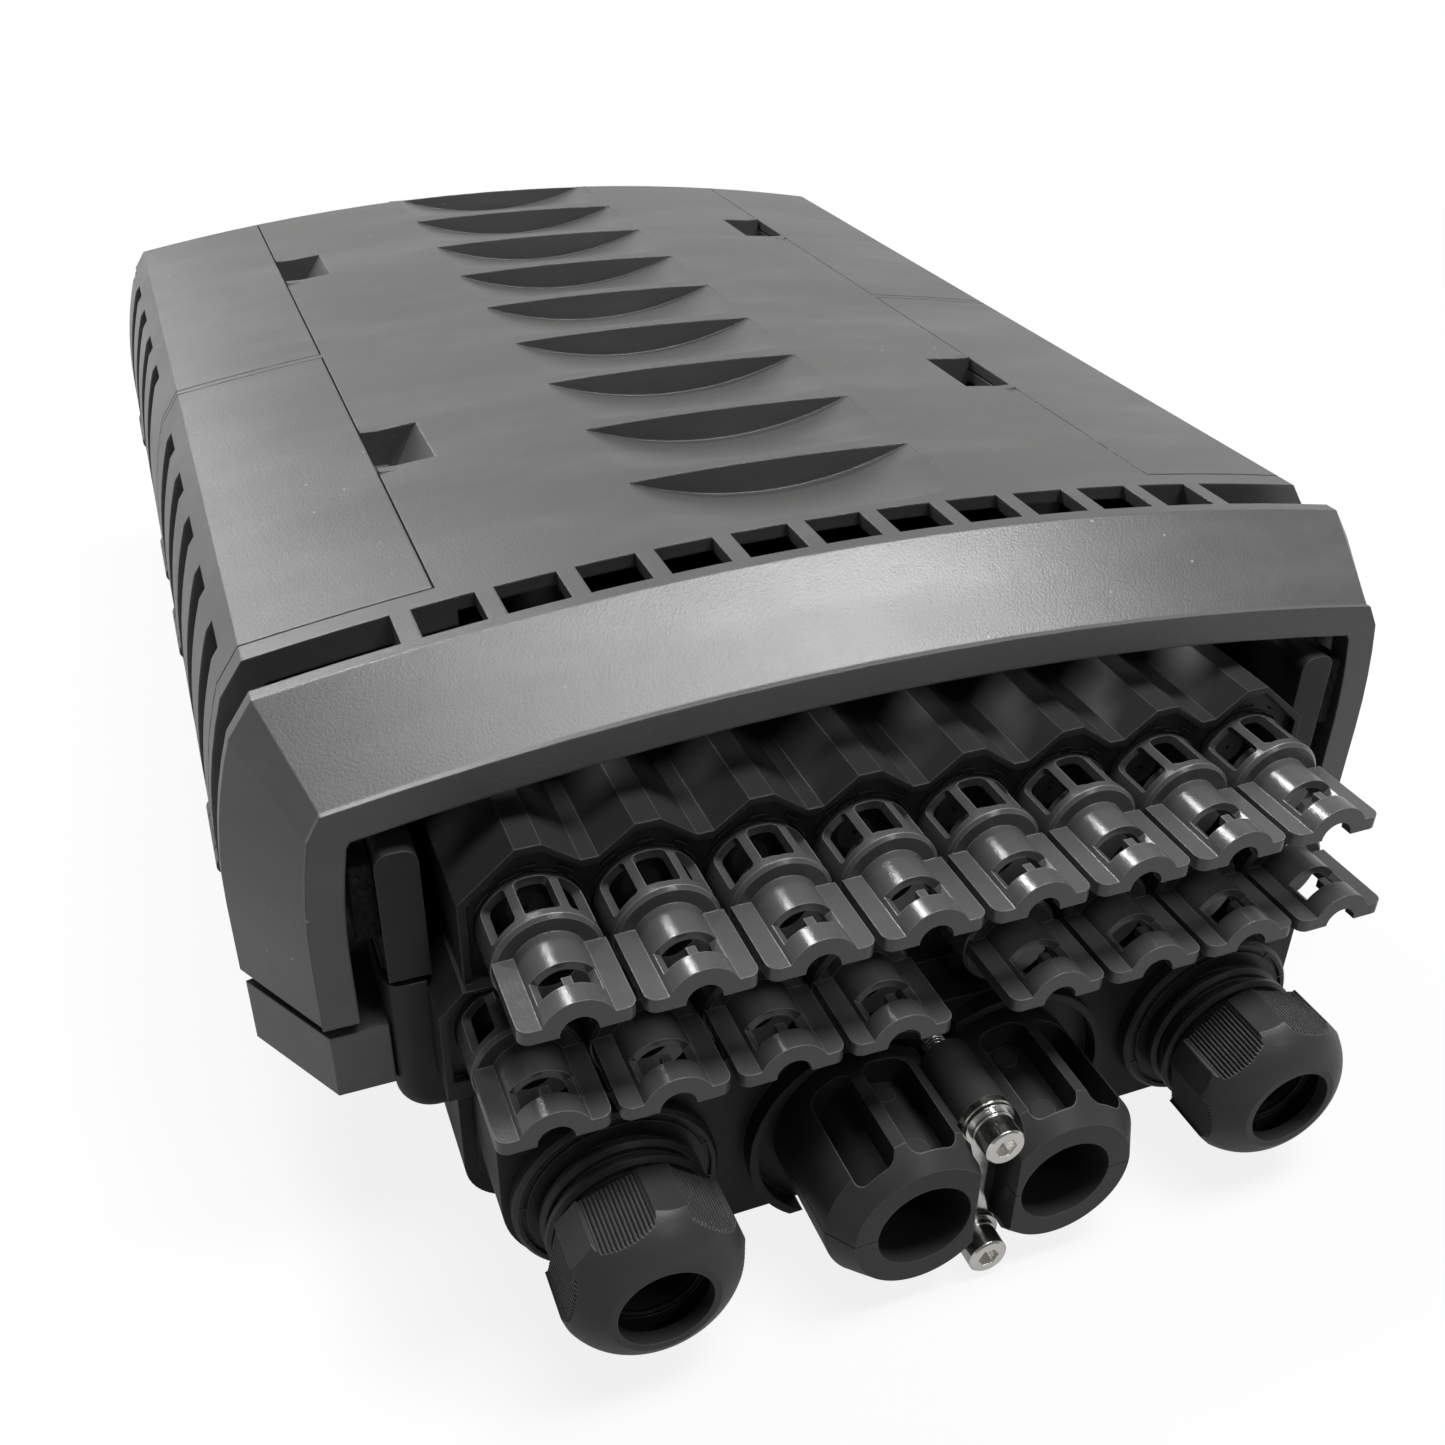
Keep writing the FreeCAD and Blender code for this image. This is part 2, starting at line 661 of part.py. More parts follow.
def hood():
    outer = Part.makeLoft([section_wire(HOOD, 0, HOOD_CREASE_Y), section_wire(MAIN, 0, HOOD_REAR_Y)],
                          True, True)
    lip = section_prism(HOOD, 0, SHIELD_FRONT_Y, HOOD_CREASE_Y)
    below = SHIELD_BOTTOM_Z - PAST
    lip_back_y = SHIELD_FRONT_Y + LIP_DEPTH
    hollow = Part.makeLoft([section_wire(HOOD, HOOD_WALL, lip_back_y, below),
                            section_wire(MAIN, PANEL_DEPTH + SHELL, HOOD_REAR_Y, below)], True, True)
    mouth = section_prism(HOOD, LIP_WIDTH, SHIELD_FRONT_Y - PAST, lip_back_y + PAST, below)
    return outer.fuse(lip).cut(hollow.fuse(mouth))


def vent_windows():
    top = SHIELD_HEIGHT + PAST
    windows = []
    for k in range(WINDOW_COUNT):
        x = (k - (WINDOW_COUNT - 1) / 2) * WINDOW_PITCH
        windows.append(box(x - WINDOW_WIDTH / 2, x + WINDOW_WIDTH / 2, WINDOW_FRONT_Y, WINDOW_REAR_Y,
                           LID_TOP_Z, top))
    end = box(END_VENT_X, SHIELD_WIDTH, WINDOW_FRONT_Y, WINDOW_REAR_Y, END_VENT_BOTTOM_Z, top)
    return windows + both_sides(end)


def standoff_places():
    return [(side * STANDOFF_X, y) for side in (-1, 1) for y in STANDOFF_YS]


def sun_shield():
    below = SHIELD_BOTTOM_Z - PAST
    skin = SHELL + PANEL_DEPTH
    deep = shield_hull(skin, below)
    middle = slab(SEAM_X - SHELL, HOOD_REAR_Y, SHIELD_REAR_Y, 0, SHIELD_HEIGHT)
    shallow = shield_hull(SHELL, below).common(middle)
    shell = shield_hull(0).cut(deep.fuse(shallow)).fuse(hood())

    louvre_ys = [LOUVRE_FIRST_Y + k * LOUVRE_PITCH for k in range(LOUVRE_COUNT)]
    added = [louvre_form(y, LOUVRE_WALL, SHIELD_HEIGHT - SHELL + LOUVRE_CAP) for y in louvre_ys]
    removed = [louvre_form(y, 0.0, SHIELD_HEIGHT + PAST) for y in louvre_ys] + vent_windows()
    for place, span in PANEL_SPANS.items():
        y = span[0] + POCKET_START[place]
        added += both_sides(pocket_form(y, POCKET_WALL))
        removed += both_sides(panel_recess(span)) + both_sides(pocket_form(y, 0.0))
        bolt_y = (span[0] + span[1]) / 2
        removed += both_sides(box(EAR_X - ACCESS_INBOARD, EAR_X + ACCESS_OUTBOARD,
                                  bolt_y - ACCESS_LENGTH / 2, bolt_y + ACCESS_LENGTH / 2,
                                  LID_TOP_Z - ACCESS_BELOW_LID_TOP, SHIELD_HEIGHT))
        for hinge_y in panel_hinge_ys(span):
            half = PANEL_KNUCKLE_LENGTH / 2 + HINGE_END_GAP
            room = PANEL_KNUCKLE_R + HINGE_END_GAP
            removed += both_sides(box(PANEL_HINGE_X - room, SHIELD_WIDTH, hinge_y - half, hinge_y + half,
                                      below, PANEL_HINGE_Z + room))
    for x, y in standoff_places():
        post = rod_z(x, y, STANDOFF_R, LID_TOP_Z, crown_at(SHIELD_HEIGHT, abs(x)) - SHELL / 2)
        added.append(post)
        removed.append(rod_z(x, y, STANDOFF_SCREW_R, LID_TOP_Z - PAST, LID_TOP_Z + STANDOFF_SCREW_LENGTH))
    shell = shell.multiFuse(added).cut(Part.makeCompound(removed))

    lugs = [lug for span in PANEL_SPANS.values() for y in panel_hinge_ys(span) for lug in panel_lugs(y)]
    arms = [lid_knuckle(side) for side in (-1, 1)]
    shell = shell.multiFuse(lugs + [mirror_x(lug) for lug in lugs] + arms)
    return shell.removeSplitter()


def lid_knuckle(side):
    """Shield half of a lid hinge: a barrel and its arm on the rear wall."""
    x0 = side * LID_HINGE_X - LID_KNUCKLE_LENGTH / 2
    x1 = x0 + LID_KNUCKLE_LENGTH
    barrel = rod_x(LID_HINGE_Y, LID_HINGE_Z, LID_KNUCKLE_R, x0, x1)
    arm = box(x0, x1, SHIELD_REAR_Y - LID_ARM_ROOT, LID_HINGE_Y, SHIELD_BOTTOM_Z,
              SHIELD_BOTTOM_Z + LID_ARM_HEIGHT)
    bore = rod_x(LID_HINGE_Y, LID_HINGE_Z, LID_PIN_R + LID_PIN_PLAY, x0, x1)
    return fuse([barrel, arm]).cut(bore)


# Side panels

def side_panel(place):
    """Right-hand panel with its slots and hinge knuckles."""
    span = PANEL_SPANS[place]
    y0, y1 = span[0] + PANEL_GAP, span[1] - PANEL_GAP
    hinge_z = PANEL_HINGE_Z
    skin = shield_hull(0, hinge_z).cut(shield_hull(PANEL_THICKNESS, hinge_z - PAST))
    panel = skin.common(box(SEAM_X + PANEL_GAP, SHIELD_WIDTH, y0, y1, hinge_z, SHIELD_HEIGHT))
    removed = []
    for k in range(PANEL_SLOTS):
        slot_y = span[0] + SLOT_START[place] + k * PANEL_SLOT_PITCH
        removed.append(box(SHIELD_WIDTH / 2 - EDGE_SET_IN, SHIELD_WIDTH, slot_y, slot_y + PANEL_SLOT_WIDTH,
                           PANEL_SLOT_BOTTOM_Z, PANEL_SLOT_TOP_Z))
    knuckles = []
    for y in panel_hinge_ys(span):
        half = PANEL_KNUCKLE_LENGTH / 2
        knuckles.append(rod_y(PANEL_HINGE_X, hinge_z, PANEL_KNUCKLE_R, y - half, y + half))
        reach = panel_hinge_reach(PANEL_LUG_LENGTH, HINGE_END_GAP)
        room = PANEL_KNUCKLE_R + HINGE_END_GAP
        for ends in ((y - reach, y - half), (y + half, y + reach)):
            removed.append(box(PANEL_HINGE_X - room, SHIELD_WIDTH, *ends, hinge_z - room, hinge_z + room))
        knuckles.append(box(PANEL_HINGE_X - PANEL_THICKNESS / 2, PANEL_HINGE_X + PANEL_THICKNESS / 2,
                            y - half, y + half, hinge_z, hinge_z + PANEL_KNUCKLE_R + HINGE_END_GAP + PAST))
    panel = panel.cut(Part.makeCompound(removed)).multiFuse(knuckles)
    return panel.cut(rod_y(PANEL_HINGE_X, hinge_z, PANEL_PIN_R + PANEL_PIN_PLAY, span[0], span[1]))


def panel_pins():
    """Hinge pins of the right-hand panels."""
    reach = panel_hinge_reach(PANEL_LUG_LENGTH)
    return [rod_y(PANEL_HINGE_X, PANEL_HINGE_Z, PANEL_PIN_R, y - reach, y + reach)
            for span in PANEL_SPANS.values() for y in panel_hinge_ys(span)]


# Rear frame

def frame_outline(inset):
    """Plan of the frame: tapered front corners under the hood's legs, then a narrower waist."""
    half_width = SHIELD_WIDTH / 2
    front_x = half_width - HOOD_TAPER - FRAME_FRONT_SET_IN - inset
    wide_x = half_width - FRAME_SIDE_SET_IN - inset
    waist_x = half_width - FRAME_WAIST - inset
    corner = REAR_ROUND_LENGTH
    half = [(front_x, FRAME_FRONT_Y + inset), (wide_x, HOOD_REAR_Y - FRAME_SIDE_SET_IN - inset / 2),
            (waist_x, HOOD_REAR_Y + FRAME_WAIST_BACK - inset), (waist_x, SHIELD_REAR_Y - corner - inset),
            (waist_x - corner, SHIELD_REAR_Y - FRAME_REAR_SET_IN - inset)]
    return half + [(-x, y) for x, y in reversed(half)]


def rear_frame():
    bottom = FRAME_TOP_Z - FRAME_HEIGHT
    frame = outline_z(frame_outline(0), bottom, FRAME_TOP_Z)
    hollow = outline_z(frame_outline(FRAME_WALL), bottom - PAST, FRAME_TOP_Z - FRAME_WALL)
    inner = slab(CLOSURE_HALF_WIDTH, FRAME_FRONT_Y - PAST, CLOSURE_REAR_Y, bottom - PAST,
                 FRAME_TOP_Z + PAST)
    lip = box(CLOSURE_HALF_WIDTH, CLOSURE_HALF_WIDTH + FRAME_WALL, FRAME_FRONT_Y, HOOD_REAR_Y, bottom,
              FRAME_TOP_Z)
    frame = frame.cut(hollow).multiFuse(both_sides(lip)).cut(inner)
    for side in (-1, 1):
        for end in (-1, 1):
            near = LID_KNUCKLE_LENGTH / 2 + HINGE_END_GAP
            xs = sorted(side * LID_HINGE_X + end * d for d in (near, near + FRAME_KNUCKLE_LENGTH))
            barrel = rod_x(LID_HINGE_Y, LID_HINGE_Z, LID_KNUCKLE_R, *xs)
            arm = box(*xs, SHIELD_REAR_Y - FRAME_ARM_ROOT, LID_HINGE_Y, FRAME_TOP_Z - FRAME_ARM_HEIGHT,
                      FRAME_TOP_Z)
            bore = rod_x(LID_HINGE_Y, LID_HINGE_Z, LID_PIN_R, *xs)
            frame = frame.fuse(fuse([barrel, arm]).cut(bore)).cut(bore)
    return frame.removeSplitter()


def lid_pins():
    reach = LID_KNUCKLE_LENGTH / 2 + HINGE_END_GAP + FRAME_KNUCKLE_LENGTH
    middles = (-LID_HINGE_X, LID_HINGE_X)
    return [rod_x(LID_HINGE_Y, LID_HINGE_Z, LID_PIN_R, x - reach, x + reach) for x in middles]


# Closure base and lid

def lengthwise_edge(half_width, z):
    """Test for the two lengthwise edges at x = half_width and height z."""
    def chosen(edge):
        middle = edge.CenterOfMass
        return runs_along(edge, V(0, 1, 0)) and abs(abs(middle.x) - half_width) < 1e-3 \
            and abs(middle.z - z) < 1e-3
    return chosen


def trough(half_width, y0, y1, z0, z1, corner):
    """A slab with its two lower lengthwise edges rounded."""
    return round_edges(slab(half_width, y0, y1, z0, z1), corner, lengthwise_edge(half_width, z0))


def closure_base():
    wall = CLOSURE_WALL
    y0, y1 = CLOSURE_FRONT_Y, CLOSURE_REAR_Y
    open_top = CLOSURE_PARTING_Z + PAST
    foot = trough(CLOSURE_FOOT_HALF_WIDTH, y0, y1, CLOSURE_BACK_Z, CLOSURE_STEP_Z + CLOSURE_STEP_R,
                  CLOSURE_CORNER_R)
    upper = trough(CLOSURE_HALF_WIDTH, y0, y1, CLOSURE_STEP_Z, CLOSURE_PARTING_Z, CLOSURE_STEP_R)
    upper = round_edges(upper, CLOSURE_FRONT_R,
                        lambda e: runs_along(e, V(0, 0, 1)) and abs(e.CenterOfMass.y - y0) < 1e-3)
    deep = trough(CLOSURE_FOOT_HALF_WIDTH - wall, y0 - PAST, y1 - wall, CLOSURE_FLOOR_Z, open_top,
                  CLOSURE_CORNER_R - wall)
    wide = trough(CLOSURE_HALF_WIDTH - wall, y0 + wall, y1 - wall, CLOSURE_STEP_Z + wall, open_top,
                  CLOSURE_STEP_R - wall)
    port_gap = slab(LOWER_XS[-1] + LOWER_SIDE, y0 - PAST, y0 + wall + PAST,
                    CABLE_PANEL_TOP_Z - PORT_GAP_BELOW, open_top)
    base = fuse([foot, upper]).cut(fuse([deep, wide, port_gap]))
    pads = [(side * PAD_X, y) for side in (-1, 1) for y in PAD_YS]
    ear_z = CLOSURE_PARTING_Z - EAR_THICKNESS
    added = [ear for y in BOLT_YS for ear in both_sides(ear_plate(CLOSURE_HALF_WIDTH, y, ear_z))]
    added += [rod_z(x, y, PAD_R, 0, CLOSURE_FLOOR_Z) for x, y in pads]
    added += [rod_z(x, y, INSERT_BOSS_R, CLOSURE_BACK_Z, INSERT_LENGTH + wall) for x, y in pads]
    added += [rod_z(x, y, POST_R, CLOSURE_BACK_Z, TRAY_FLOOR_Z) for x, y in tray_posts()]
    holes = [rod_z(x, y, EAR_HOLE_R, ear_z - PAST, open_top) for x, y in bolt_places()]
    holes += [rod_z(x, y, INSERT_R, 0, INSERT_LENGTH) for x, y in pads]
    return cut(base.multiFuse(added), holes + [gasket_ring(GASKET_GROOVE)]).removeSplitter()


def bolt_places():
    return [(side * EAR_X, y) for side in (-1, 1) for y in BOLT_YS]


def ear_plate(from_x, y, z):
    """Ear on the right-hand side wall that starts at from_x."""
    return box(from_x - PAST, CLOSURE_HALF_WIDTH + EAR_REACH, y - EAR_LENGTH / 2, y + EAR_LENGTH / 2, z,
               z + EAR_THICKNESS)


def tray_posts():
    x = TRAY_HALF_WIDTH - POST_INSET
    ys = (TRAY_FRONT_Y + POST_INSET, TRAY_REAR_Y - POST_INSET)
    return [(side * x, y) for side in (-1, 1) for y in ys]


def gasket_ring(depth):
    """Square ring in the top of the base's wall, open at the port block; depth is below the parting."""
    middle = CLOSURE_HALF_WIDTH - CLOSURE_WALL / 2
    rear = CLOSURE_REAR_Y - CLOSURE_WALL / 2
    half = GASKET_WIDTH / 2
    front = CLOSURE_FRONT_Y + 2 * CLOSURE_WALL
    bottom, top = CLOSURE_PARTING_Z - depth, CLOSURE_PARTING_Z + PAST
    outer = slab(middle + half, front, rear + half, bottom, top)
    return outer.cut(slab(middle - half, front - PAST, rear - half, bottom - PAST, top + PAST))


def lid_gasket():
    top = CLOSURE_PARTING_Z - GASKET_GROOVE + GASKET_HEIGHT
    keep = slab(CLOSURE_HALF_WIDTH, CLOSURE_FRONT_Y, CLOSURE_REAR_Y, 0, top)
    ring = gasket_ring(GASKET_GROOVE)
    raised = ring.copy()
    raised.translate(V(0, 0, GASKET_HEIGHT - GASKET_GROOVE))
    return ring.fuse(raised).common(keep).removeSplitter()


def closure_lid():
    wall = LID_WALL
    z0 = LID_BOTTOM_Z
    tray = slab(LID_HALF_WIDTH, LID_FRONT_Y, LID_REAR_Y, z0, LID_TOP_Z)

    def top_edge(edge):
        return abs(edge.CenterOfMass.z - LID_TOP_Z) < 1e-3

    tray = round_edges(tray, LID_CORNER_R, top_edge)
    hollow = slab(LID_HALF_WIDTH - wall, LID_FRONT_Y + wall, LID_REAR_Y - wall, z0 - PAST, LID_TOP_Z - wall)
    hollow = round_edges(hollow, LID_CORNER_R - wall,
                         lambda e: abs(e.CenterOfMass.z - LID_TOP_Z + wall) < 1e-3)
    cheek = box(CHEEK_INNER_X, LID_HALF_WIDTH, CLOSURE_FRONT_Y, LID_FRONT_Y + wall, z0, CHEEK_TOP_Z)
    cheek = round_edges(cheek, CHEEK_CORNER_R, lambda e: runs_along(e, V(0, 1, 0))
                        and abs(e.CenterOfMass.z - CHEEK_TOP_Z) < 1e-3)
    block_top = UPPER_AXIS_Z + LOBE_PEAK + 2 * HINGE_END_GAP
    doorway = slab(CHEEK_INNER_X - DOORWAY_STEP, LID_FRONT_Y - PAST, LID_FRONT_Y + wall + PAST, z0 - PAST,
                   block_top)
    lid = tray.cut(hollow.fuse(doorway)).multiFuse(both_sides(cheek))
    lid = lid.multiFuse([ear for y in BOLT_YS for ear in both_sides(ear_plate(LID_HALF_WIDTH, y, z0))])
    holes = [rod_z(x, y, BOLT_R, z0 - PAST, z0 + EAR_THICKNESS + PAST) for x, y in bolt_places()]
    holes += [rod_z(x, y, STANDOFF_SCREW_R, LID_TOP_Z - wall - PAST, LID_TOP_Z + PAST)
              for x, y in standoff_places()]
    return cut(lid, holes).removeSplitter()


def hexagon_z(x, y, across_flats, z0, z1):
    radius = across_flats / math.sqrt(3)
    angles = [math.radians(60 * k) for k in range(6)]
    return outline_z([(x + radius * math.cos(a), y + radius * math.sin(a)) for a in angles], z0, z1)


def lid_bolt(x, y):
    seat = LID_BOTTOM_Z + EAR_THICKNESS
    head = rod_z(x, y, BOLT_HEAD_R, seat, seat + BOLT_HEAD_HEIGHT)
    shank = rod_z(x, y, BOLT_R, CLOSURE_PARTING_Z - EAR_THICKNESS, seat)
    top = seat + BOLT_HEAD_HEIGHT
    return fuse([head, shank]).cut(hexagon_z(x, y, BOLT_SOCKET_AF, top - BOLT_SOCKET_DEPTH, top + PAST))


def standoff_screw(x, y):
    seat = LID_TOP_Z - LID_WALL
    end = LID_TOP_Z + STANDOFF_SCREW_LENGTH - STANDOFF_SCREW_SPARE
    head = rod_z(x, y, STANDOFF_SCREW_HEAD_R, seat - STANDOFF_SCREW_HEAD, seat)
    return fuse([head, rod_z(x, y, STANDOFF_SCREW_R, seat, end)])


def foam_strip():
    """Foam pad on the right-hand cheek."""
    y0 = CLOSURE_FRONT_Y + FOAM_BACK
    return box(LID_HALF_WIDTH, LID_HALF_WIDTH + FOAM_THICKNESS, y0, y0 + FOAM_LENGTH, FOAM_BOTTOM_Z,
               CHEEK_TOP_Z - CHEEK_CORNER_R)


def mount_insert(x, y):
    bore = rod_z(x, y, INSERT_BORE_R, -PAST, INSERT_LENGTH + PAST)
    return rod_z(x, y, INSERT_R, 0, INSERT_LENGTH).cut(bore)


# Port block

def lobed_points(inset):
    """Outline round the upper ports: one lobe over each, valleys between, straight ends."""
    peak = UPPER_AXIS_Z + LOBE_PEAK - inset
    valley = UPPER_AXIS_Z + LOBE_VALLEY - inset
    shoulder = UPPER_AXIS_Z + LOBE_SHOULDER - inset / 2
    side = UPPER_XS[-1] + PORT_SIDE - inset
    floor = UPPER_AXIS_Z - (RECESS_BELOW if inset else PORT_BELOW)
    points = [(-side, floor), (-side, shoulder)]
    for k, x in enumerate(UPPER_XS):
        points += [(x - LOBE_FLAT / 2, peak), (x + LOBE_FLAT / 2, peak)]
        if k < PORTS_PER_ROW - 1:
            middle = x + PORT_PITCH / 2
            points += [(middle - VALLEY_FLAT / 2, valley), (middle + VALLEY_FLAT / 2, valley)]
    return points + [(side, shoulder), (side, floor)]


def lower_points(inset):
    """Outline round the lower ports: straight, with its upper corners cut off."""
    side = LOWER_XS[-1] + LOWER_SIDE - inset
    top = LOWER_AXIS_Z + LOWER_TOP - min(inset, LOWER_TOP_WALL)
    floor = LOWER_AXIS_Z - (RECESS_BELOW if inset else LOWER_BELOW)
    half = [(side, floor), (side, top - LOWER_CHAMFER), (side - LOWER_CHAMFER, top)]
    return half + [(-x, z) for x, z in reversed(half)]


def entry_collar():
    """Thin round walls on the panel about the entry's bodies, parted where the screws pass."""
    y0, y1 = PANEL_PLATE_Y - COLLAR_LENGTH, PANEL_PLATE_Y
    bottom, top = ENTRY_Z - COLLAR_R - PAST, ENTRY_Z + COLLAR_R + PAST
    outer = fuse([rod_y(side * ENTRY_X, ENTRY_Z, COLLAR_R, y0, y1) for side in (-1, 1)])
    removed = [rod_y(side * ENTRY_X, ENTRY_Z, COLLAR_R - COLLAR_WALL, y0 - PAST, y1 + PAST)
               for side in (-1, 1)]
    removed.append(slab(SCREW_R + BOSS_CLEARANCE, y0 - PAST, y1 + PAST, bottom, top))
    removed.append(slab(ENTRY_X + COLLAR_R + PAST, y0 - PAST, y1 + PAST, bottom, CLOSURE_BACK_Z))
    return cut(outer, removed)


def port_block():
    wall = BLOCK_WALL
    plug_half = CLOSURE_FOOT_HALF_WIDTH - CLOSURE_WALL
    top_z = CABLE_PANEL_TOP_Z
    solids = [outline_y(lobed_points(0), UPPER_FRONT_Y, BLOCK_REAR_Y),
              outline_y(lower_points(0), LOWER_FRONT_Y, BLOCK_REAR_Y),
              trough(CABLE_PANEL_HALF_WIDTH, PANEL_PLATE_Y, CLOSURE_FRONT_Y, CLOSURE_BACK_Z, top_z,
                     CABLE_PANEL_CORNER_R),
              trough(plug_half, CLOSURE_FRONT_Y, BLOCK_REAR_Y, CLOSURE_FLOOR_Z, top_z,
                     CLOSURE_CORNER_R - CLOSURE_WALL)]
    block = fuse(solids + [entry_collar()])
    rear = BLOCK_REAR_Y + PAST
    plate = SOCKET_DEPTH + PORT_PLATE
    inner_half = min(CABLE_PANEL_HALF_WIDTH, plug_half) - wall
    removed = [trough(inner_half, PANEL_PLATE_Y + CABLE_PLATE, rear, CLOSURE_FLOOR_Z + wall, top_z - wall,
                      CABLE_PANEL_CORNER_R - wall)]
    rows = ((lobed_points, UPPER_FRONT_Y, UPPER_XS, UPPER_AXIS_Z),
            (lower_points, LOWER_FRONT_Y, LOWER_XS, LOWER_AXIS_Z))
    for outline, front, xs, z in rows:
        removed.append(outline_y(outline(RECESS_WALL), front - PAST, front + RECESS_DEPTH))
        removed.append(outline_y(outline(wall), front + plate, rear))
        removed += [rod_y(x, z, CAGE_R + SOCKET_CLEARANCE, front + RECESS_DEPTH, front + SOCKET_DEPTH)
                    for x in xs]
        removed += [rod_y(x, z, PORT_HOLE_R, front, front + plate + PAST) for x in xs]
    for side in (-1, 1):
        removed.append(rod_y(side * GLAND_X, GLAND_Z, GLAND_TAIL_R, PANEL_PLATE_Y - PAST, CLOSURE_FRONT_Y))
        removed.append(rod_y(side * ENTRY_X, ENTRY_Z, ENTRY_HOLE_R + ENTRY_PANEL_CLEARANCE,
                             PANEL_PLATE_Y - PAST, CLOSURE_FRONT_Y))
    removed += [rod_y(0, z, SCREW_R, PANEL_PLATE_Y - PAST, SCREW_SEAT_Y + SCREW_LENGTH + PAST)
                for z in SCREW_ZS]
    return cut(block, removed).removeSplitter()


# Drop cable clamps and port plugs

def clamp_cage():
    """Round cage at the back of a clamp, with three windows above and three below."""
    front = -CAGE_LENGTH
    cage = bevel_at(rod_y(0, 0, CAGE_R, front, 0), CAGE_CHAMFER, front)
    cage = cage.cut(rod_y(0, 0, CAGE_R - CAGE_WALL, front + CAGE_END, PAST))
    y0 = front + CAGE_RING
    angles = [half_turn + step * CAGE_WINDOW_STEP for half_turn in (0, 180) for step in (-1, 0, 1)]
    cage = cut(cage, [sector_y(CAGE_R + PAST, CAGE_WINDOW_ANGLE, y0, y0 + CAGE_WINDOW_LENGTH, a)
                      for a in angles])

    def window_corner(edge):
        radii = [math.hypot(v.X, v.Z) for v in edge.Vertexes]
        return len(radii) == 2 and abs(abs(radii[0] - radii[1]) - CAGE_WALL) < 1e-3

    return round_edges(cage, CAGE_WINDOW_CORNER_R, window_corner)


def drop_clamp():
    """Clamp with its axis on Y, its back at y = 0 and its nose towards -Y."""
    tip = -CAGE_LENGTH - NOSE_LENGTH
    tail = -CAGE_LENGTH + NOSE_TAIL
    above = slab(CAGE_R, tip, -CAGE_LENGTH, 0, CAGE_R)
    nose = rod_y(0, 0, NOSE_R, tip, -CAGE_LENGTH).common(above)
    tube = rod_y(0, 0, NOSE_R, -CAGE_LENGTH, tail)
    wings = slab(WING_HALF_WIDTH, tip, -CAGE_LENGTH, 0, WING_THICKNESS)
    wings = round_edges(wings, WING_CORNER_R, lambda e: runs_along(e, V(0, 0, 1))
                        and abs(e.CenterOfMass.y - tip) < 1e-3)
    window_y = tip + NOSE_WINDOW_BACK
    removed = [rod_y(0, 0, NOSE_R - NOSE_WALL, tip + NOSE_END, tail + PAST),
               rod_y(0, 0, NOTCH_R, tip - PAST, tip + NOSE_END + PAST),
               sector_y(NOSE_R + PAST, NOSE_WINDOW_ANGLE, window_y, window_y + NOSE_WINDOW_LENGTH, 0)]
    post = slab(NOSE_POST / 2, tip + NOSE_END / 2, window_y + NOSE_POST_REACH, NOTCH_R + NOSE_POST_RISE,
                NOSE_POST_HEIGHT)
    return fuse([cut(fuse([clamp_cage(), nose, tube, wings]), removed), post])


def port_plug(x, z, y):
    """Rubber blank in a port hole, with a flange on the inner side."""
    inner_y = y + PORT_PLATE
    return fuse([rod_y(x, z, PORT_HOLE_R, y, inner_y),
                 rod_y(x, z, PLUG_FLANGE_R, inner_y, inner_y + PLUG_FLANGE),
                 cone_y(x, z, NOTCH_R, PORT_HOLE_R - PLUG_STEP, y - PLUG_CONE, y)])


# Cable glands

def gland_body(side):
    """Grooved flange, neck with bevelled rings, threaded end, and a tail through the panel."""
    x, z = side * GLAND_X, GLAND_Z
    face = GLAND_FACE_Y
    flange = bevel_at(rod_y(x, z, GLAND_FLANGE_R, face, PANEL_PLATE_Y), GLAND_FLANGE_CHAMFER, face)
    groove = rod_y(x, z, GLAND_GROOVE_R + GLAND_GROOVE_WIDTH, face - PAST, face + GLAND_GROOVE_DEPTH).cut(
        rod_y(x, z, GLAND_GROOVE_R, face - PAST, face + GLAND_GROOVE_DEPTH))
    solids = [flange.cut(groove), rod_y(x, z, GLAND_NECK_R, face - GLAND_NECK_LENGTH, face),
              rod_y(x, z, GLAND_THREAD_R, GLAND_THREAD_END_Y, face),
              rod_y(x, z, GLAND_TAIL_R, PANEL_PLATE_Y, PANEL_PLATE_Y + GLAND_TAIL_LENGTH)]
    for k in range(GLAND_RING_COUNT):
        rear = face - GLAND_RING_FIRST - k * GLAND_RING_PITCH
        front = rear - GLAND_RING
        solids.append(bevel_at(rod_y(x, z, GLAND_RING_R, front, rear), GLAND_RING_CHAMFER, front, rear))
    bore = rod_y(x, z, GLAND_BORE_R, GLAND_THREAD_END_Y - PAST, PANEL_PLATE_Y + GLAND_TAIL_LENGTH + PAST)
    return fuse(solids).cut(bore)


def nut_outline(turn):
    """Six grip flats set back between six narrow lands, turned about the axis by some degrees."""
    land = NUT_LAND_AF / 2
    half_land = NUT_LAND_WIDTH / 2
    lean = math.radians(30)
    foot = (NUT_AF / 2 - half_land * math.sin(lean)) / math.cos(lean)
    points = []
    for k in range(6):
        middle = math.radians(turn + 60 * k + 30)
        out = (math.cos(middle), math.sin(middle))
        along = (-out[1], out[0])
        for reach, shift in ((foot, -half_land), (land, -half_land), (land, half_land), (foot, half_land)):
            points.append(tuple(reach * o + shift * a for o, a in zip(out, along)))
    return points


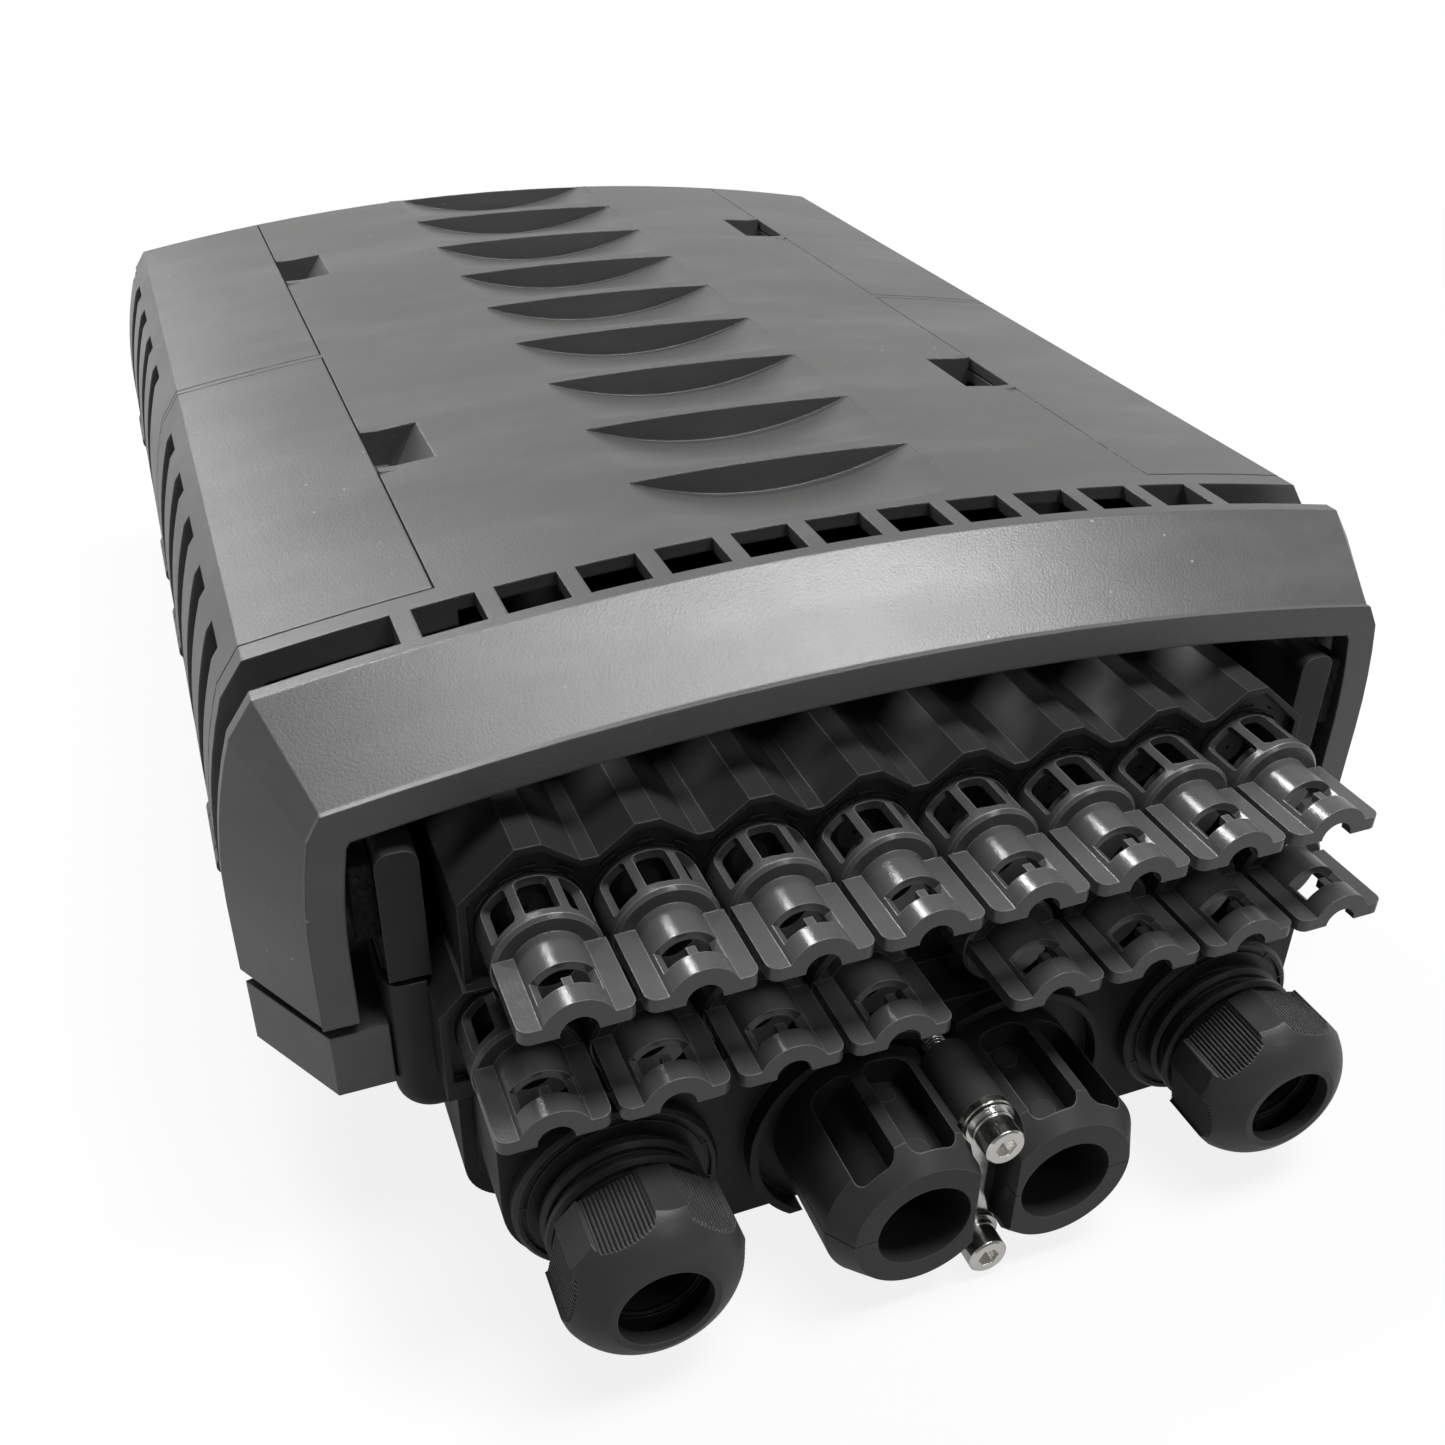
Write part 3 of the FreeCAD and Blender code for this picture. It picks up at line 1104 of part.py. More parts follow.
def nut_ribs(turn, y0, y1):
    """Grooves that leave ribs on one grip flat."""
    face = NUT_AF / 2
    grooves = []
    for k in range(NUT_RIB_COUNT):
        x = (k - (NUT_RIB_COUNT - 1) / 2) * NUT_RIB_PITCH
        groove = box(x - NUT_RIB_GROOVE / 2, x + NUT_RIB_GROOVE / 2, y0, y1, face - NUT_RIB_DEPTH,
                     face + PAST)
        groove.rotate(V(0, 0, 0), V(0, 1, 0), 90 - turn)
        grooves.append(groove)
    return grooves


def gland_nut(turn):
    """Dome nut on the Y axis, with ribbed flats that run into a turned dome."""
    back = GLAND_FACE_Y - NUT_BACK_GAP
    shoulder = back - NUT_GRIP_LENGTH
    tip = shoulder - NUT_DOME_LENGTH
    rim, end = V(NUT_DOME_R, shoulder, 0), V(NUT_END_R, tip, 0)
    bulge = V(NUT_DOME_BULGE_R, shoulder - NUT_DOME_BULGE, 0)
    corners = [end, V(0, tip, 0), V(0, back, 0), V(NUT_DOME_R, back, 0), rim]
    edges = [Part.Arc(rim, bulge, end).toShape()]
    edges += [Part.makeLine(a, b) for a, b in zip(corners, corners[1:])]
    turned = Part.Face(Part.Wire(edges)).revolve(V(0, 0, 0), V(0, 1, 0), 360)
    nut = turned.common(outline_y(nut_outline(turn), tip, back))

    inner_r = GLAND_THREAD_R + NUT_CLEARANCE
    hollow_y = GLAND_THREAD_END_Y - 2 * NUT_CLEARANCE
    throat_y = tip + NUT_WALL_AT_HOLE
    removed = [rod_y(0, 0, inner_r, hollow_y, back + PAST),
               rod_y(0, 0, NUT_HOLE_R, tip - PAST, throat_y + PAST)]
    for k in range(6):
        removed += nut_ribs(turn + 60 * k, tip, back + PAST)
    return nut.cut(cone_y(0, 0, NUT_HOLE_R, inner_r, throat_y, hollow_y)).cut(Part.makeCompound(removed))


def gland_seal(side):
    x, z = side * GLAND_X, GLAND_Z
    y0, y1 = GLAND_THREAD_END_Y, GLAND_THREAD_END_Y + GLAND_SEAL_LENGTH
    return rod_y(x, z, GLAND_BORE_R, y0, y1).cut(rod_y(x, z, GLAND_SEAL_BORE_R, y0 - PAST, y1 + PAST))


def gland_locknut(side):
    x, z = side * GLAND_X, GLAND_Z
    y0 = PANEL_PLATE_Y + CABLE_PLATE
    y1 = y0 + LOCKNUT_HEIGHT
    return hexagon_y(x, z, LOCKNUT_AF, y0, y1).cut(rod_y(x, z, GLAND_TAIL_R, y0 - PAST, y1 + PAST))


# Two-cable entry

def entry_pockets():
    """Pockets in the tops of the entry's bodies, down to a floor that follows the cable hole."""
    y0 = ENTRY_FRONT_Y + ENTRY_POCKET_FRONT
    y1 = y0 + ENTRY_POCKET_LENGTH
    rib_x = ENTRY_X + ENTRY_RIB_OUT
    spans = [(BOSS_R + ENTRY_BOSS_WALL, rib_x - ENTRY_RIB / 2),
             (rib_x + ENTRY_RIB / 2, ENTRY_X + ENTRY_R - ENTRY_SIDE_WALL)]
    floor = rod_y(ENTRY_X, ENTRY_Z, ENTRY_POCKET_FLOOR_R, ENTRY_FRONT_Y, PANEL_PLATE_Y)
    pockets = []
    for x0, x1 in spans:
        well = box(x0, x1, y0, y1, ENTRY_Z + ENTRY_POCKET_BOTTOM, ENTRY_Z + ENTRY_R + PAST)
        well = round_edges(well, ENTRY_POCKET_CORNER_R, lambda e: runs_along(e, V(0, 0, 1)))
        pockets += both_sides(well.cut(floor))
    return pockets


def entry_body(x):
    """Round body about one cable hole, with a conical front."""
    nose_y = ENTRY_FRONT_Y + ENTRY_NOSE_LENGTH
    return fuse([cone_y(x, ENTRY_Z, ENTRY_FRONT_R, ENTRY_R, ENTRY_FRONT_Y, nose_y),
                 rod_y(x, ENTRY_Z, ENTRY_R, nose_y, PANEL_PLATE_Y)])


def entry_half():
    """Upper half of the entry: two bodies side by side with a screw boss between them."""
    front, rear = ENTRY_FRONT_Y - PAST, PANEL_PLATE_Y + PAST
    screw_z = SCREW_ZS[0]
    boss_rear = STRIP_Y + BOSS_LENGTH
    solids = [rod_y(0, screw_z, BOSS_R, STRIP_Y, boss_rear),
              slab(BOSS_WEB_HALF, STRIP_Y, boss_rear, ENTRY_Z, screw_z)]
    removed = entry_pockets() + [rod_y(0, screw_z, SCREW_R, front, rear),
                                 rod_y(0, screw_z, BOSS_R + BOSS_CLEARANCE, front, STRIP_Y),
                                 slab(ENTRY_SLOT_HALF, front, STRIP_Y, 0, screw_z)]
    for side in (-1, 1):
        solids.append(entry_body(side * ENTRY_X))
        removed.append(rod_y(side * ENTRY_X, ENTRY_Z, ENTRY_HOLE_R, front, rear))
    upper = slab(ENTRY_X + ENTRY_R + PAST, front, rear, ENTRY_Z + ENTRY_SPLIT / 2, screw_z + BOSS_R + PAST)
    return cut(fuse(solids), removed).common(upper).removeSplitter()


def entry_seal():
    """Rubber block behind the panel with a hole for each cable."""
    y0 = PANEL_PLATE_Y + CABLE_PLATE
    y1 = y0 + ENTRY_SEAL_LENGTH
    block = stadium_y(ENTRY_X, ENTRY_Z, ENTRY_HOLE_R + ENTRY_SEAL_WALL, y0, y1)
    return cut(block, [rod_y(side * ENTRY_X, ENTRY_Z, ENTRY_HOLE_R, y0 - PAST, y1 + PAST)
                       for side in (-1, 1)])


def clamp_strip():
    """Flat strip with a round end on each screw and a narrow waist between."""
    y0, y1 = STRIP_Y - STRIP_THICKNESS, STRIP_Y
    waist_z = STRIP_WAIST_LENGTH / 2
    side = [(STRIP_SHOULDER, ENTRY_SCREW_OFFSET - STRIP_SHOULDER), (STRIP_WAIST / 2, waist_z)]
    half = side + [(x, -z) for x, z in reversed(side)]
    outline = [(x, ENTRY_Z + z) for x, z in half] + [(-x, ENTRY_Z + z) for x, z in reversed(half)]
    strip = fuse([rod_y(0, z, STRIP_END_R, y0, y1) for z in SCREW_ZS] + [outline_y(outline, y0, y1)])
    return cut(strip, [rod_y(0, z, STRIP_HOLE_R, y0 - PAST, y1 + PAST) for z in SCREW_ZS])


def clamp_washers(z):
    """Plain washer on the strip and spring washer under the screw's head."""
    rings = [(WASHER_R, WASHER_FACE_Y, STRIP_Y - STRIP_THICKNESS),
             (SPRING_WASHER_R, SCREW_SEAT_Y, WASHER_FACE_Y)]
    return [rod_y(0, z, radius, y0, y1).cut(rod_y(0, z, STRIP_HOLE_R, y0 - PAST, y1 + PAST))
            for radius, y0, y1 in rings]


def clamp_screw(z):
    front = SCREW_SEAT_Y - SCREW_HEAD_LENGTH
    head = bevel_at(rod_y(0, z, SCREW_HEAD_R, front, SCREW_SEAT_Y), SCREW_HEAD_CHAMFER, front)
    shank = rod_y(0, z, SCREW_R, SCREW_SEAT_Y, SCREW_SEAT_Y + SCREW_LENGTH)
    socket = hexagon_y(0, z, SCREW_SOCKET_AF, front - PAST, front + SCREW_SOCKET_DEPTH)
    return fuse([head, shank]).cut(socket)


# Parts inside the closure

def adapter_panel():
    """Bent plate that stands on the base's floor and carries two rows of adapters."""
    floor_z = CLOSURE_FLOOR_Z
    half = CLOSURE_FOOT_HALF_WIDTH - CLOSURE_WALL - CLOSURE_CORNER_R
    wide = CLOSURE_HALF_WIDTH - CLOSURE_WALL - ADAPTER_PANEL_SET_IN
    y0, y1 = ADAPTER_PANEL_Y, ADAPTER_PANEL_Y + ADAPTER_PANEL_THICKNESS
    top = UPPER_AXIS_Z + ADAPTER_HEIGHT
    plate = fuse([slab(wide, y0, y1, CLOSURE_STEP_Z + CLOSURE_WALL, top),
                  slab(half, y0, y1, floor_z, top),
                  slab(half, y0, y1 + ADAPTER_FOOT, floor_z, floor_z + ADAPTER_PANEL_THICKNESS)])
    half_w, half_h = ADAPTER_WIDTH / 2, ADAPTER_HEIGHT / 2
    holes = [box(x - half_w, x + half_w, y0 - PAST, y1 + PAST, z - half_h, z + half_h)
             for x, z in adapter_places()]
    return cut(plate, holes)


def adapter_places():
    return [(x, UPPER_AXIS_Z) for x in UPPER_XS] + [(x, LOWER_AXIS_Z) for x in UPPER_XS]


def adapter(x, z):
    """Duplex-open coupler: a flange against the panel and a socket at each end."""
    front = ADAPTER_PANEL_Y - ADAPTER_LENGTH / 2
    rear = front + ADAPTER_LENGTH
    half_w, half_h = ADAPTER_WIDTH / 2, ADAPTER_HEIGHT / 2
    body = box(x - half_w, x + half_w, front, rear, z - half_h, z + half_h)
    extra = ADAPTER_FLANGE_EXTRA
    flange = box(x - half_w - extra, x + half_w + extra, ADAPTER_PANEL_Y - ADAPTER_FLANGE, ADAPTER_PANEL_Y,
                 z - half_h, z + half_h)
    inset = ADAPTER_CAVITY
    sockets = [box(x - half_w + inset, x + half_w - inset, y0, y1, z - half_h + inset, z + half_h - inset)
               for y0, y1 in ((front - PAST, front + ADAPTER_CAVITY_DEPTH),
                              (rear - ADAPTER_CAVITY_DEPTH, rear + PAST))]
    return cut(fuse([body, flange]), sockets)


def rounded_plate(half_width, y0, y1, z0, z1, radius):
    return round_edges(slab(half_width, y0, y1, z0, z1), radius, lambda e: runs_along(e, V(0, 0, 1)))


def splice_tray():
    z0, z1 = TRAY_FLOOR_Z, TRAY_FLOOR_Z + TRAY_DEPTH
    tray = rounded_plate(TRAY_HALF_WIDTH, TRAY_FRONT_Y, TRAY_REAR_Y, z0, z1, TRAY_CORNER_R)
    hollow = rounded_plate(TRAY_HALF_WIDTH - TRAY_WALL, TRAY_FRONT_Y + TRAY_WALL, TRAY_REAR_Y - TRAY_WALL,
                           z0 + TRAY_WALL, z1 + PAST, TRAY_CORNER_R - TRAY_WALL)
    tray = tray.cut(hollow)
    middle_y = (TRAY_FRONT_Y + TRAY_REAR_Y) / 2
    hub_top = z1 - TRAY_COVER_THICKNESS
    hub_y = TRAY_FRONT_Y + TRAY_HUB_FROM_FRONT
    added = []
    for side in (-1, 1):
        x = side * TRAY_HALF_WIDTH / 2
        hub = rod_z(x, hub_y, TRAY_HUB_R, z0, hub_top)
        added.append(hub.cut(rod_z(x, hub_y, TRAY_HUB_R - TRAY_WALL, z0 - PAST, hub_top + PAST)))
    for k in range(COMB_COUNT + 1):
        x = (k - COMB_COUNT / 2) * COMB_PITCH
        added.append(box(x - COMB_RIB / 2, x + COMB_RIB / 2, middle_y + COMB_RIB, middle_y + COMB_LENGTH,
                         z0, z0 + TRAY_WALL + COMB_HEIGHT))
    return tray.multiFuse(added).removeSplitter()


def splice_tray_cover():
    z0 = TRAY_FLOOR_Z + TRAY_DEPTH
    return rounded_plate(TRAY_HALF_WIDTH, TRAY_FRONT_Y, TRAY_REAR_Y, z0, z0 + TRAY_COVER_THICKNESS,
                         TRAY_CORNER_R)


def splitter_module():
    z0 = CLOSURE_FLOOR_Z
    body = slab(SPLITTER_WIDTH / 2, SPLITTER_Y, SPLITTER_Y + SPLITTER_LENGTH, z0, z0 + SPLITTER_HEIGHT)
    return round_edges(body, SPLITTER_EDGE_R, lambda e: runs_along(e, V(0, 1, 0)))


def feeder_clamp():
    """Saddle on the base's floor that grips the two feeder cables, in two halves."""
    y0, y1 = FEEDER_BLOCK_Y, FEEDER_BLOCK_Y + FEEDER_BLOCK_LENGTH
    top = ENTRY_Z + ENTRY_HOLE_R + FEEDER_BAR
    removed = [rod_y(side * ENTRY_X, ENTRY_Z, ENTRY_HOLE_R - FEEDER_GRIP, y0 - PAST, y1 + PAST)
               for side in (-1, 1)]
    removed.append(rod_z(0, (y0 + y1) / 2, SCREW_R, CLOSURE_FLOOR_Z, top + PAST))
    lower = slab(FEEDER_BLOCK_HALF_WIDTH, y0, y1, CLOSURE_FLOOR_Z, ENTRY_Z)
    upper = slab(FEEDER_BLOCK_HALF_WIDTH, y0, y1, ENTRY_Z, top)
    return cut(lower, removed), cut(upper, removed)


def feeder_screw():
    y = FEEDER_BLOCK_Y + FEEDER_BLOCK_LENGTH / 2
    seat = ENTRY_Z + ENTRY_HOLE_R + FEEDER_BAR
    top = seat + SCREW_HEAD_LENGTH
    head = rod_z(0, y, SCREW_HEAD_R, seat, top)
    shank = rod_z(0, y, SCREW_R, CLOSURE_FLOOR_Z, seat)
    return fuse([head, shank]).cut(hexagon_z(0, y, SCREW_SOCKET_AF, top - SCREW_SOCKET_DEPTH, top + PAST))


def placed(shape, x, y, z):
    moved = shape.copy()
    moved.translate(V(x, y, z))
    return moved


def build_outer_skin():
    save("sun_shield", sun_shield())
    for place in PANEL_SPANS:
        panel = side_panel(place)
        save("side_panel_right_" + place, panel)
        save("side_panel_left_" + place, mirror_x(panel))
    pins = panel_pins()
    save("panel_hinge_pins", *(pins + [mirror_x(pin) for pin in pins]))
    save("rear_frame", rear_frame())
    save("lid_hinge_pins", *lid_pins())


def build_closure():
    save("closure_base", closure_base())
    save("lid_gasket", lid_gasket())
    save("closure_lid", closure_lid())
    save("lid_bolts", *[lid_bolt(x, y) for x, y in bolt_places()])
    save("shield_screws", *[standoff_screw(x, y) for x, y in standoff_places()])
    foam = foam_strip()
    save("foam_strip_right", foam)
    save("foam_strip_left", mirror_x(foam))
    save("mount_inserts", *[mount_insert(side * PAD_X, y) for side in (-1, 1) for y in PAD_YS])


def build_ports():
    save("port_block", port_block())
    clamp = drop_clamp()
    rows = {"upper": (UPPER_XS, UPPER_AXIS_Z, UPPER_FRONT_Y + SOCKET_DEPTH),
            "lower": (LOWER_XS, LOWER_AXIS_Z, LOWER_FRONT_Y + SOCKET_DEPTH)}
    for row, (xs, z, floor_y) in rows.items():
        for k, x in enumerate(xs):
            save("drop_clamp_%s_%d" % (row, k + 1), placed(clamp, x, floor_y, z))
        save("port_plugs_" + row, *[port_plug(x, z, floor_y) for x in xs])


def build_cable_entries():
    for name, side in SIDES.items():
        save("gland_body_" + name, gland_body(side))
        save("gland_nut_" + name, placed(gland_nut(NUT_TURN[name]), side * GLAND_X, 0, GLAND_Z))
        save("gland_seal_" + name, gland_seal(side))
        save("gland_locknut_" + name, gland_locknut(side))
    half = entry_half()
    save("entry_upper_half", half)
    save("entry_lower_half", half.mirror(V(0, 0, ENTRY_Z), V(0, 0, 1)))
    save("entry_seal", entry_seal())
    save("clamp_strip", clamp_strip())
    save("clamp_washers", *[washer for z in SCREW_ZS for washer in clamp_washers(z)])
    save("clamp_screws", *[clamp_screw(z) for z in SCREW_ZS])


def build_inside():
    save("adapter_panel", adapter_panel())
    save("adapters_upper", *[adapter(x, UPPER_AXIS_Z) for x in UPPER_XS])
    save("adapters_lower", *[adapter(x, LOWER_AXIS_Z) for x in UPPER_XS])
    save("splice_tray", splice_tray())
    save("splice_tray_cover", splice_tray_cover())
    save("splitter_module", splitter_module())
    lower, upper = feeder_clamp()
    save("feeder_clamp_base", lower)
    save("feeder_clamp_bar", upper)
    save("feeder_clamp_screw", feeder_screw())


os.makedirs("parts", exist_ok=True)
build_outer_skin()
build_closure()
build_ports()
build_cable_entries()
build_inside()
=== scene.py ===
import json
import math

import bmesh
import bpy
from mathutils import Matrix, Vector, noise


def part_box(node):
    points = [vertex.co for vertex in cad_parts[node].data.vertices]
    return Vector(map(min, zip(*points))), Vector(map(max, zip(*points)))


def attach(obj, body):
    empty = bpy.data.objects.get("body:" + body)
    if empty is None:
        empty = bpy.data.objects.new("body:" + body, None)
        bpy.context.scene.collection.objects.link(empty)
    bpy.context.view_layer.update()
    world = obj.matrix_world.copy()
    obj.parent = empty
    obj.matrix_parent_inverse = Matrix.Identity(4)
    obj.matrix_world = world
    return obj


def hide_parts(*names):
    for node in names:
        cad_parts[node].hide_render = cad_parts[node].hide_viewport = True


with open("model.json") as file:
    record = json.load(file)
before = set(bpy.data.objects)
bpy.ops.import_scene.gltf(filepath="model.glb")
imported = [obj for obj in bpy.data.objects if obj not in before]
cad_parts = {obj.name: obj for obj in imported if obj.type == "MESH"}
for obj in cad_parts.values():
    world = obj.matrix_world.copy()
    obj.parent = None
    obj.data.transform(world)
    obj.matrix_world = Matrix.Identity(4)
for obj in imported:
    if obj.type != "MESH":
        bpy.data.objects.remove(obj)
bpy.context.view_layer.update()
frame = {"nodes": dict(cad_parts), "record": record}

MM = 0.001
MICRON = 0.000001
SIDES = ("left", "right")
ROWS = ("upper", "lower")

# Camera, in metres, degrees and the lens's millimetres
CAMERA_PLACE = (-0.12610, -0.35512, 0.26297)
CAMERA_AZIMUTH = -21.675
CAMERA_ELEVATION = 32.6624
CAMERA_ROLL = 0.8929
CAMERA_LENS = 37.81
CAMERA_SENSOR = 36.0
CAMERA_CLIP = 0.01

# World: light on the object, white to the camera, and what mirrors show of the backdrop, ceiling and room
WORLD_LEVEL = 0.05
BACKDROP_WHITE = 1.0
MIRRORED_BACKDROP = 0.52
CEILING_LEVEL = 0.12
CEILING_FROM_Z, CEILING_TO_Z = 0.35, 0.75
MIRRORED_ROOM = 0.28
ROOM_TO_Y, ROOM_FROM_Y = -0.4, 0.3

# Floor: its colour to the camera and as bounced light, and its glow, which grows to white further out
FLOOR_SIZE = 6.0
FLOOR_WHITE = 0.90
FLOOR_BOUNCE = 0.35
FLOOR_ROUGHNESS = 0.9
FLOOR_GLOW = 0.86
MIRRORED_FLOOR = 0.24
FLOOR_SHADE_R = 0.45
FLOOR_WHITE_R = 0.95

# Softboxes: place, target and size in metres, power in watts
SOFTBOXES = {
    "overhead": {
        "place": (0.52, -0.24, 1.32), "target": (0.52, -0.20, 0.0), "size": (0.65, 0.42), "power": 14.0},
    "overhead_left": {
        "place": (-0.03, -0.24, 1.32), "target": (-0.03, -0.20, 0.0), "size": (0.45, 0.42), "power": 4.8},
    "front_overhead": {
        "place": (0.43, -0.96, 1.01), "target": (0.0, -0.18, 0.06), "size": (0.20, 0.20), "power": 1.0},
    "high_rear": {
        "place": (-0.25, 0.58, 1.02), "target": (-0.05, -0.16, 0.09), "size": (0.28, 0.28), "power": 8.0},
    "rear_left": {
        "place": (-0.50, 1.20, 0.72), "target": (-0.10, 0.0, 0.12), "size": (0.5, 0.3), "power": 2.4},
}

# Edge rounding that the shading adds, and how far it turns the normal where an edge gets a painted highlight,
# lighter colour in place of the glint of light on it
MOULDED_EDGE = 0.6 * MM
CLAMP_EDGE = 0.35 * MM
SOFT_EDGE = 0.4 * MM
METAL_EDGE = 0.2 * MM
PAINTED_HIGHLIGHT_EDGE = 0.3 * MM
PAINTED_HIGHLIGHT_COSINE, PLAIN_COSINE = 0.90, 0.995
BEVEL_SAMPLES = 4
SMOOTH_LIMIT = 35.0

# Range that most of a noise lies in, and specks of dust: their core's share, and the drifts that they lie in
NOISE_LOW, NOISE_HIGH = 0.35, 0.65
SPECK_CORE = 0.5
DRIFT_SCALE = 0.06
DRIFT_LOW, DRIFT_HIGH = 0.50, 0.60

# Snap marks round the upper ports: arcs of (radius, degrees long, middles in degrees from the top)
MARK_HEIGHT = 0.45 * MM
MARK_WIDTH = 0.5 * MM
MARK_BEHIND = 6.0 * MM
MARK_STEPS = 6
MARK_ARCS = ((12.2 * MM, 15.0, (-36.0, 0.0, 36.0)), (11.0 * MM, 24.0, (-54.0, -18.0, 18.0, 54.0)))
MARK_SECTION = ((-0.5, -0.2), (0.5, -0.2), (0.3, 1.0), (-0.3, 1.0))

# Port plugs: radii as shares of the hole's radius, rib height as a share of the ribs' pitch
PLUG_PIN_HOLE = 0.4 * MM
PLUG_FLANGE = 1.2 * MM
PLUG_RIBS = 4
PLUG_TIP_R = 0.48
PLUG_RIB_GROWTH = 0.13
PLUG_RIB_PROUD = 0.05
PLUG_RIB_HEIGHT = 0.6
PLUG_BODY_R = 0.93
TURN_STEPS = 64

# Gland sleeves: rib places as shares of the ribs' pitch
SLEEVE_WALL = 1.2 * MM
SLEEVE_RIBS = 5
SLEEVE_GROOVE = 0.35 * MM
SLEEVE_CREST_AT, SLEEVE_GROOVE_AT = 0.75, 0.45
LIP_LENGTH = 0.4 * MM
LIP_OUTER_ROUND = 0.3 * MM
LIP_INNER_ROUND = 0.2 * MM
LIP_INNER_LENGTH = 0.3 * MM

# Gasket cord and foam blocks
GASKET_WIDTH = 2.0 * MM
GASKET_ARC_STEPS = 8
FOAM_CUTS = 27
FOAM_PIT = 0.45 * MM
FOAM_CELL = 1.3 * MM
FOAM_OCTAVES = 3
FOAM_EDGE_FROM = 0.47
FOAM_ROUNDING = 0.5 * MM

# Thread on the clamp screws: its section is (share of the height, share of the pitch)
SCREW_SHANK_R = 2.5 * MM
THREAD_PITCH = 0.8 * MM
THREAD_PROUD = 0.22 * MM
THREAD_LENGTH = 5.6 * MM
THREAD_FROM_PANEL = 0.2 * MM
THREAD_STEPS = 24
THREAD_SECTION = ((-0.4, -0.42), (1.0, -0.08), (1.0, 0.08), (-0.4, 0.42))

# Ejector marks on the floors of the entry's pockets, which curve round the entry's bores
ENTRY_AXIS_X = 15.8 * MM
ENTRY_SPLIT = 0.15 * MM
POCKET_FLOOR_R = 12.4 * MM
EJECTOR_FROM_PANEL = (22.2 * MM, 7.2 * MM)
EJECTOR_LEAN = 8.0
EJECTOR_R = 2.6 * MM
EJECTOR_TOP_R = 0.94
EJECTOR_PROUD = 0.12 * MM
EJECTOR_SUNK = 0.15 * MM
EJECTOR_STEPS = 32

# Ticks round the glands' flanges: the top's width and the first tick's place are shares of width and pitch
FLANGE_FROM_PANEL = 3.6 * MM
TICKS = 12
TICK_FIRST = 0.3
TICK_LENGTH = 1.7 * MM
TICK_WIDTH = 0.3 * MM
TICK_TOP = 0.6
TICK_FROM_RIM = 1.0 * MM
TICK_SUNK = 0.1 * MM
TICK_PROUD = 0.15 * MM


def grey(level):
    return (level, level, level, 1.0)


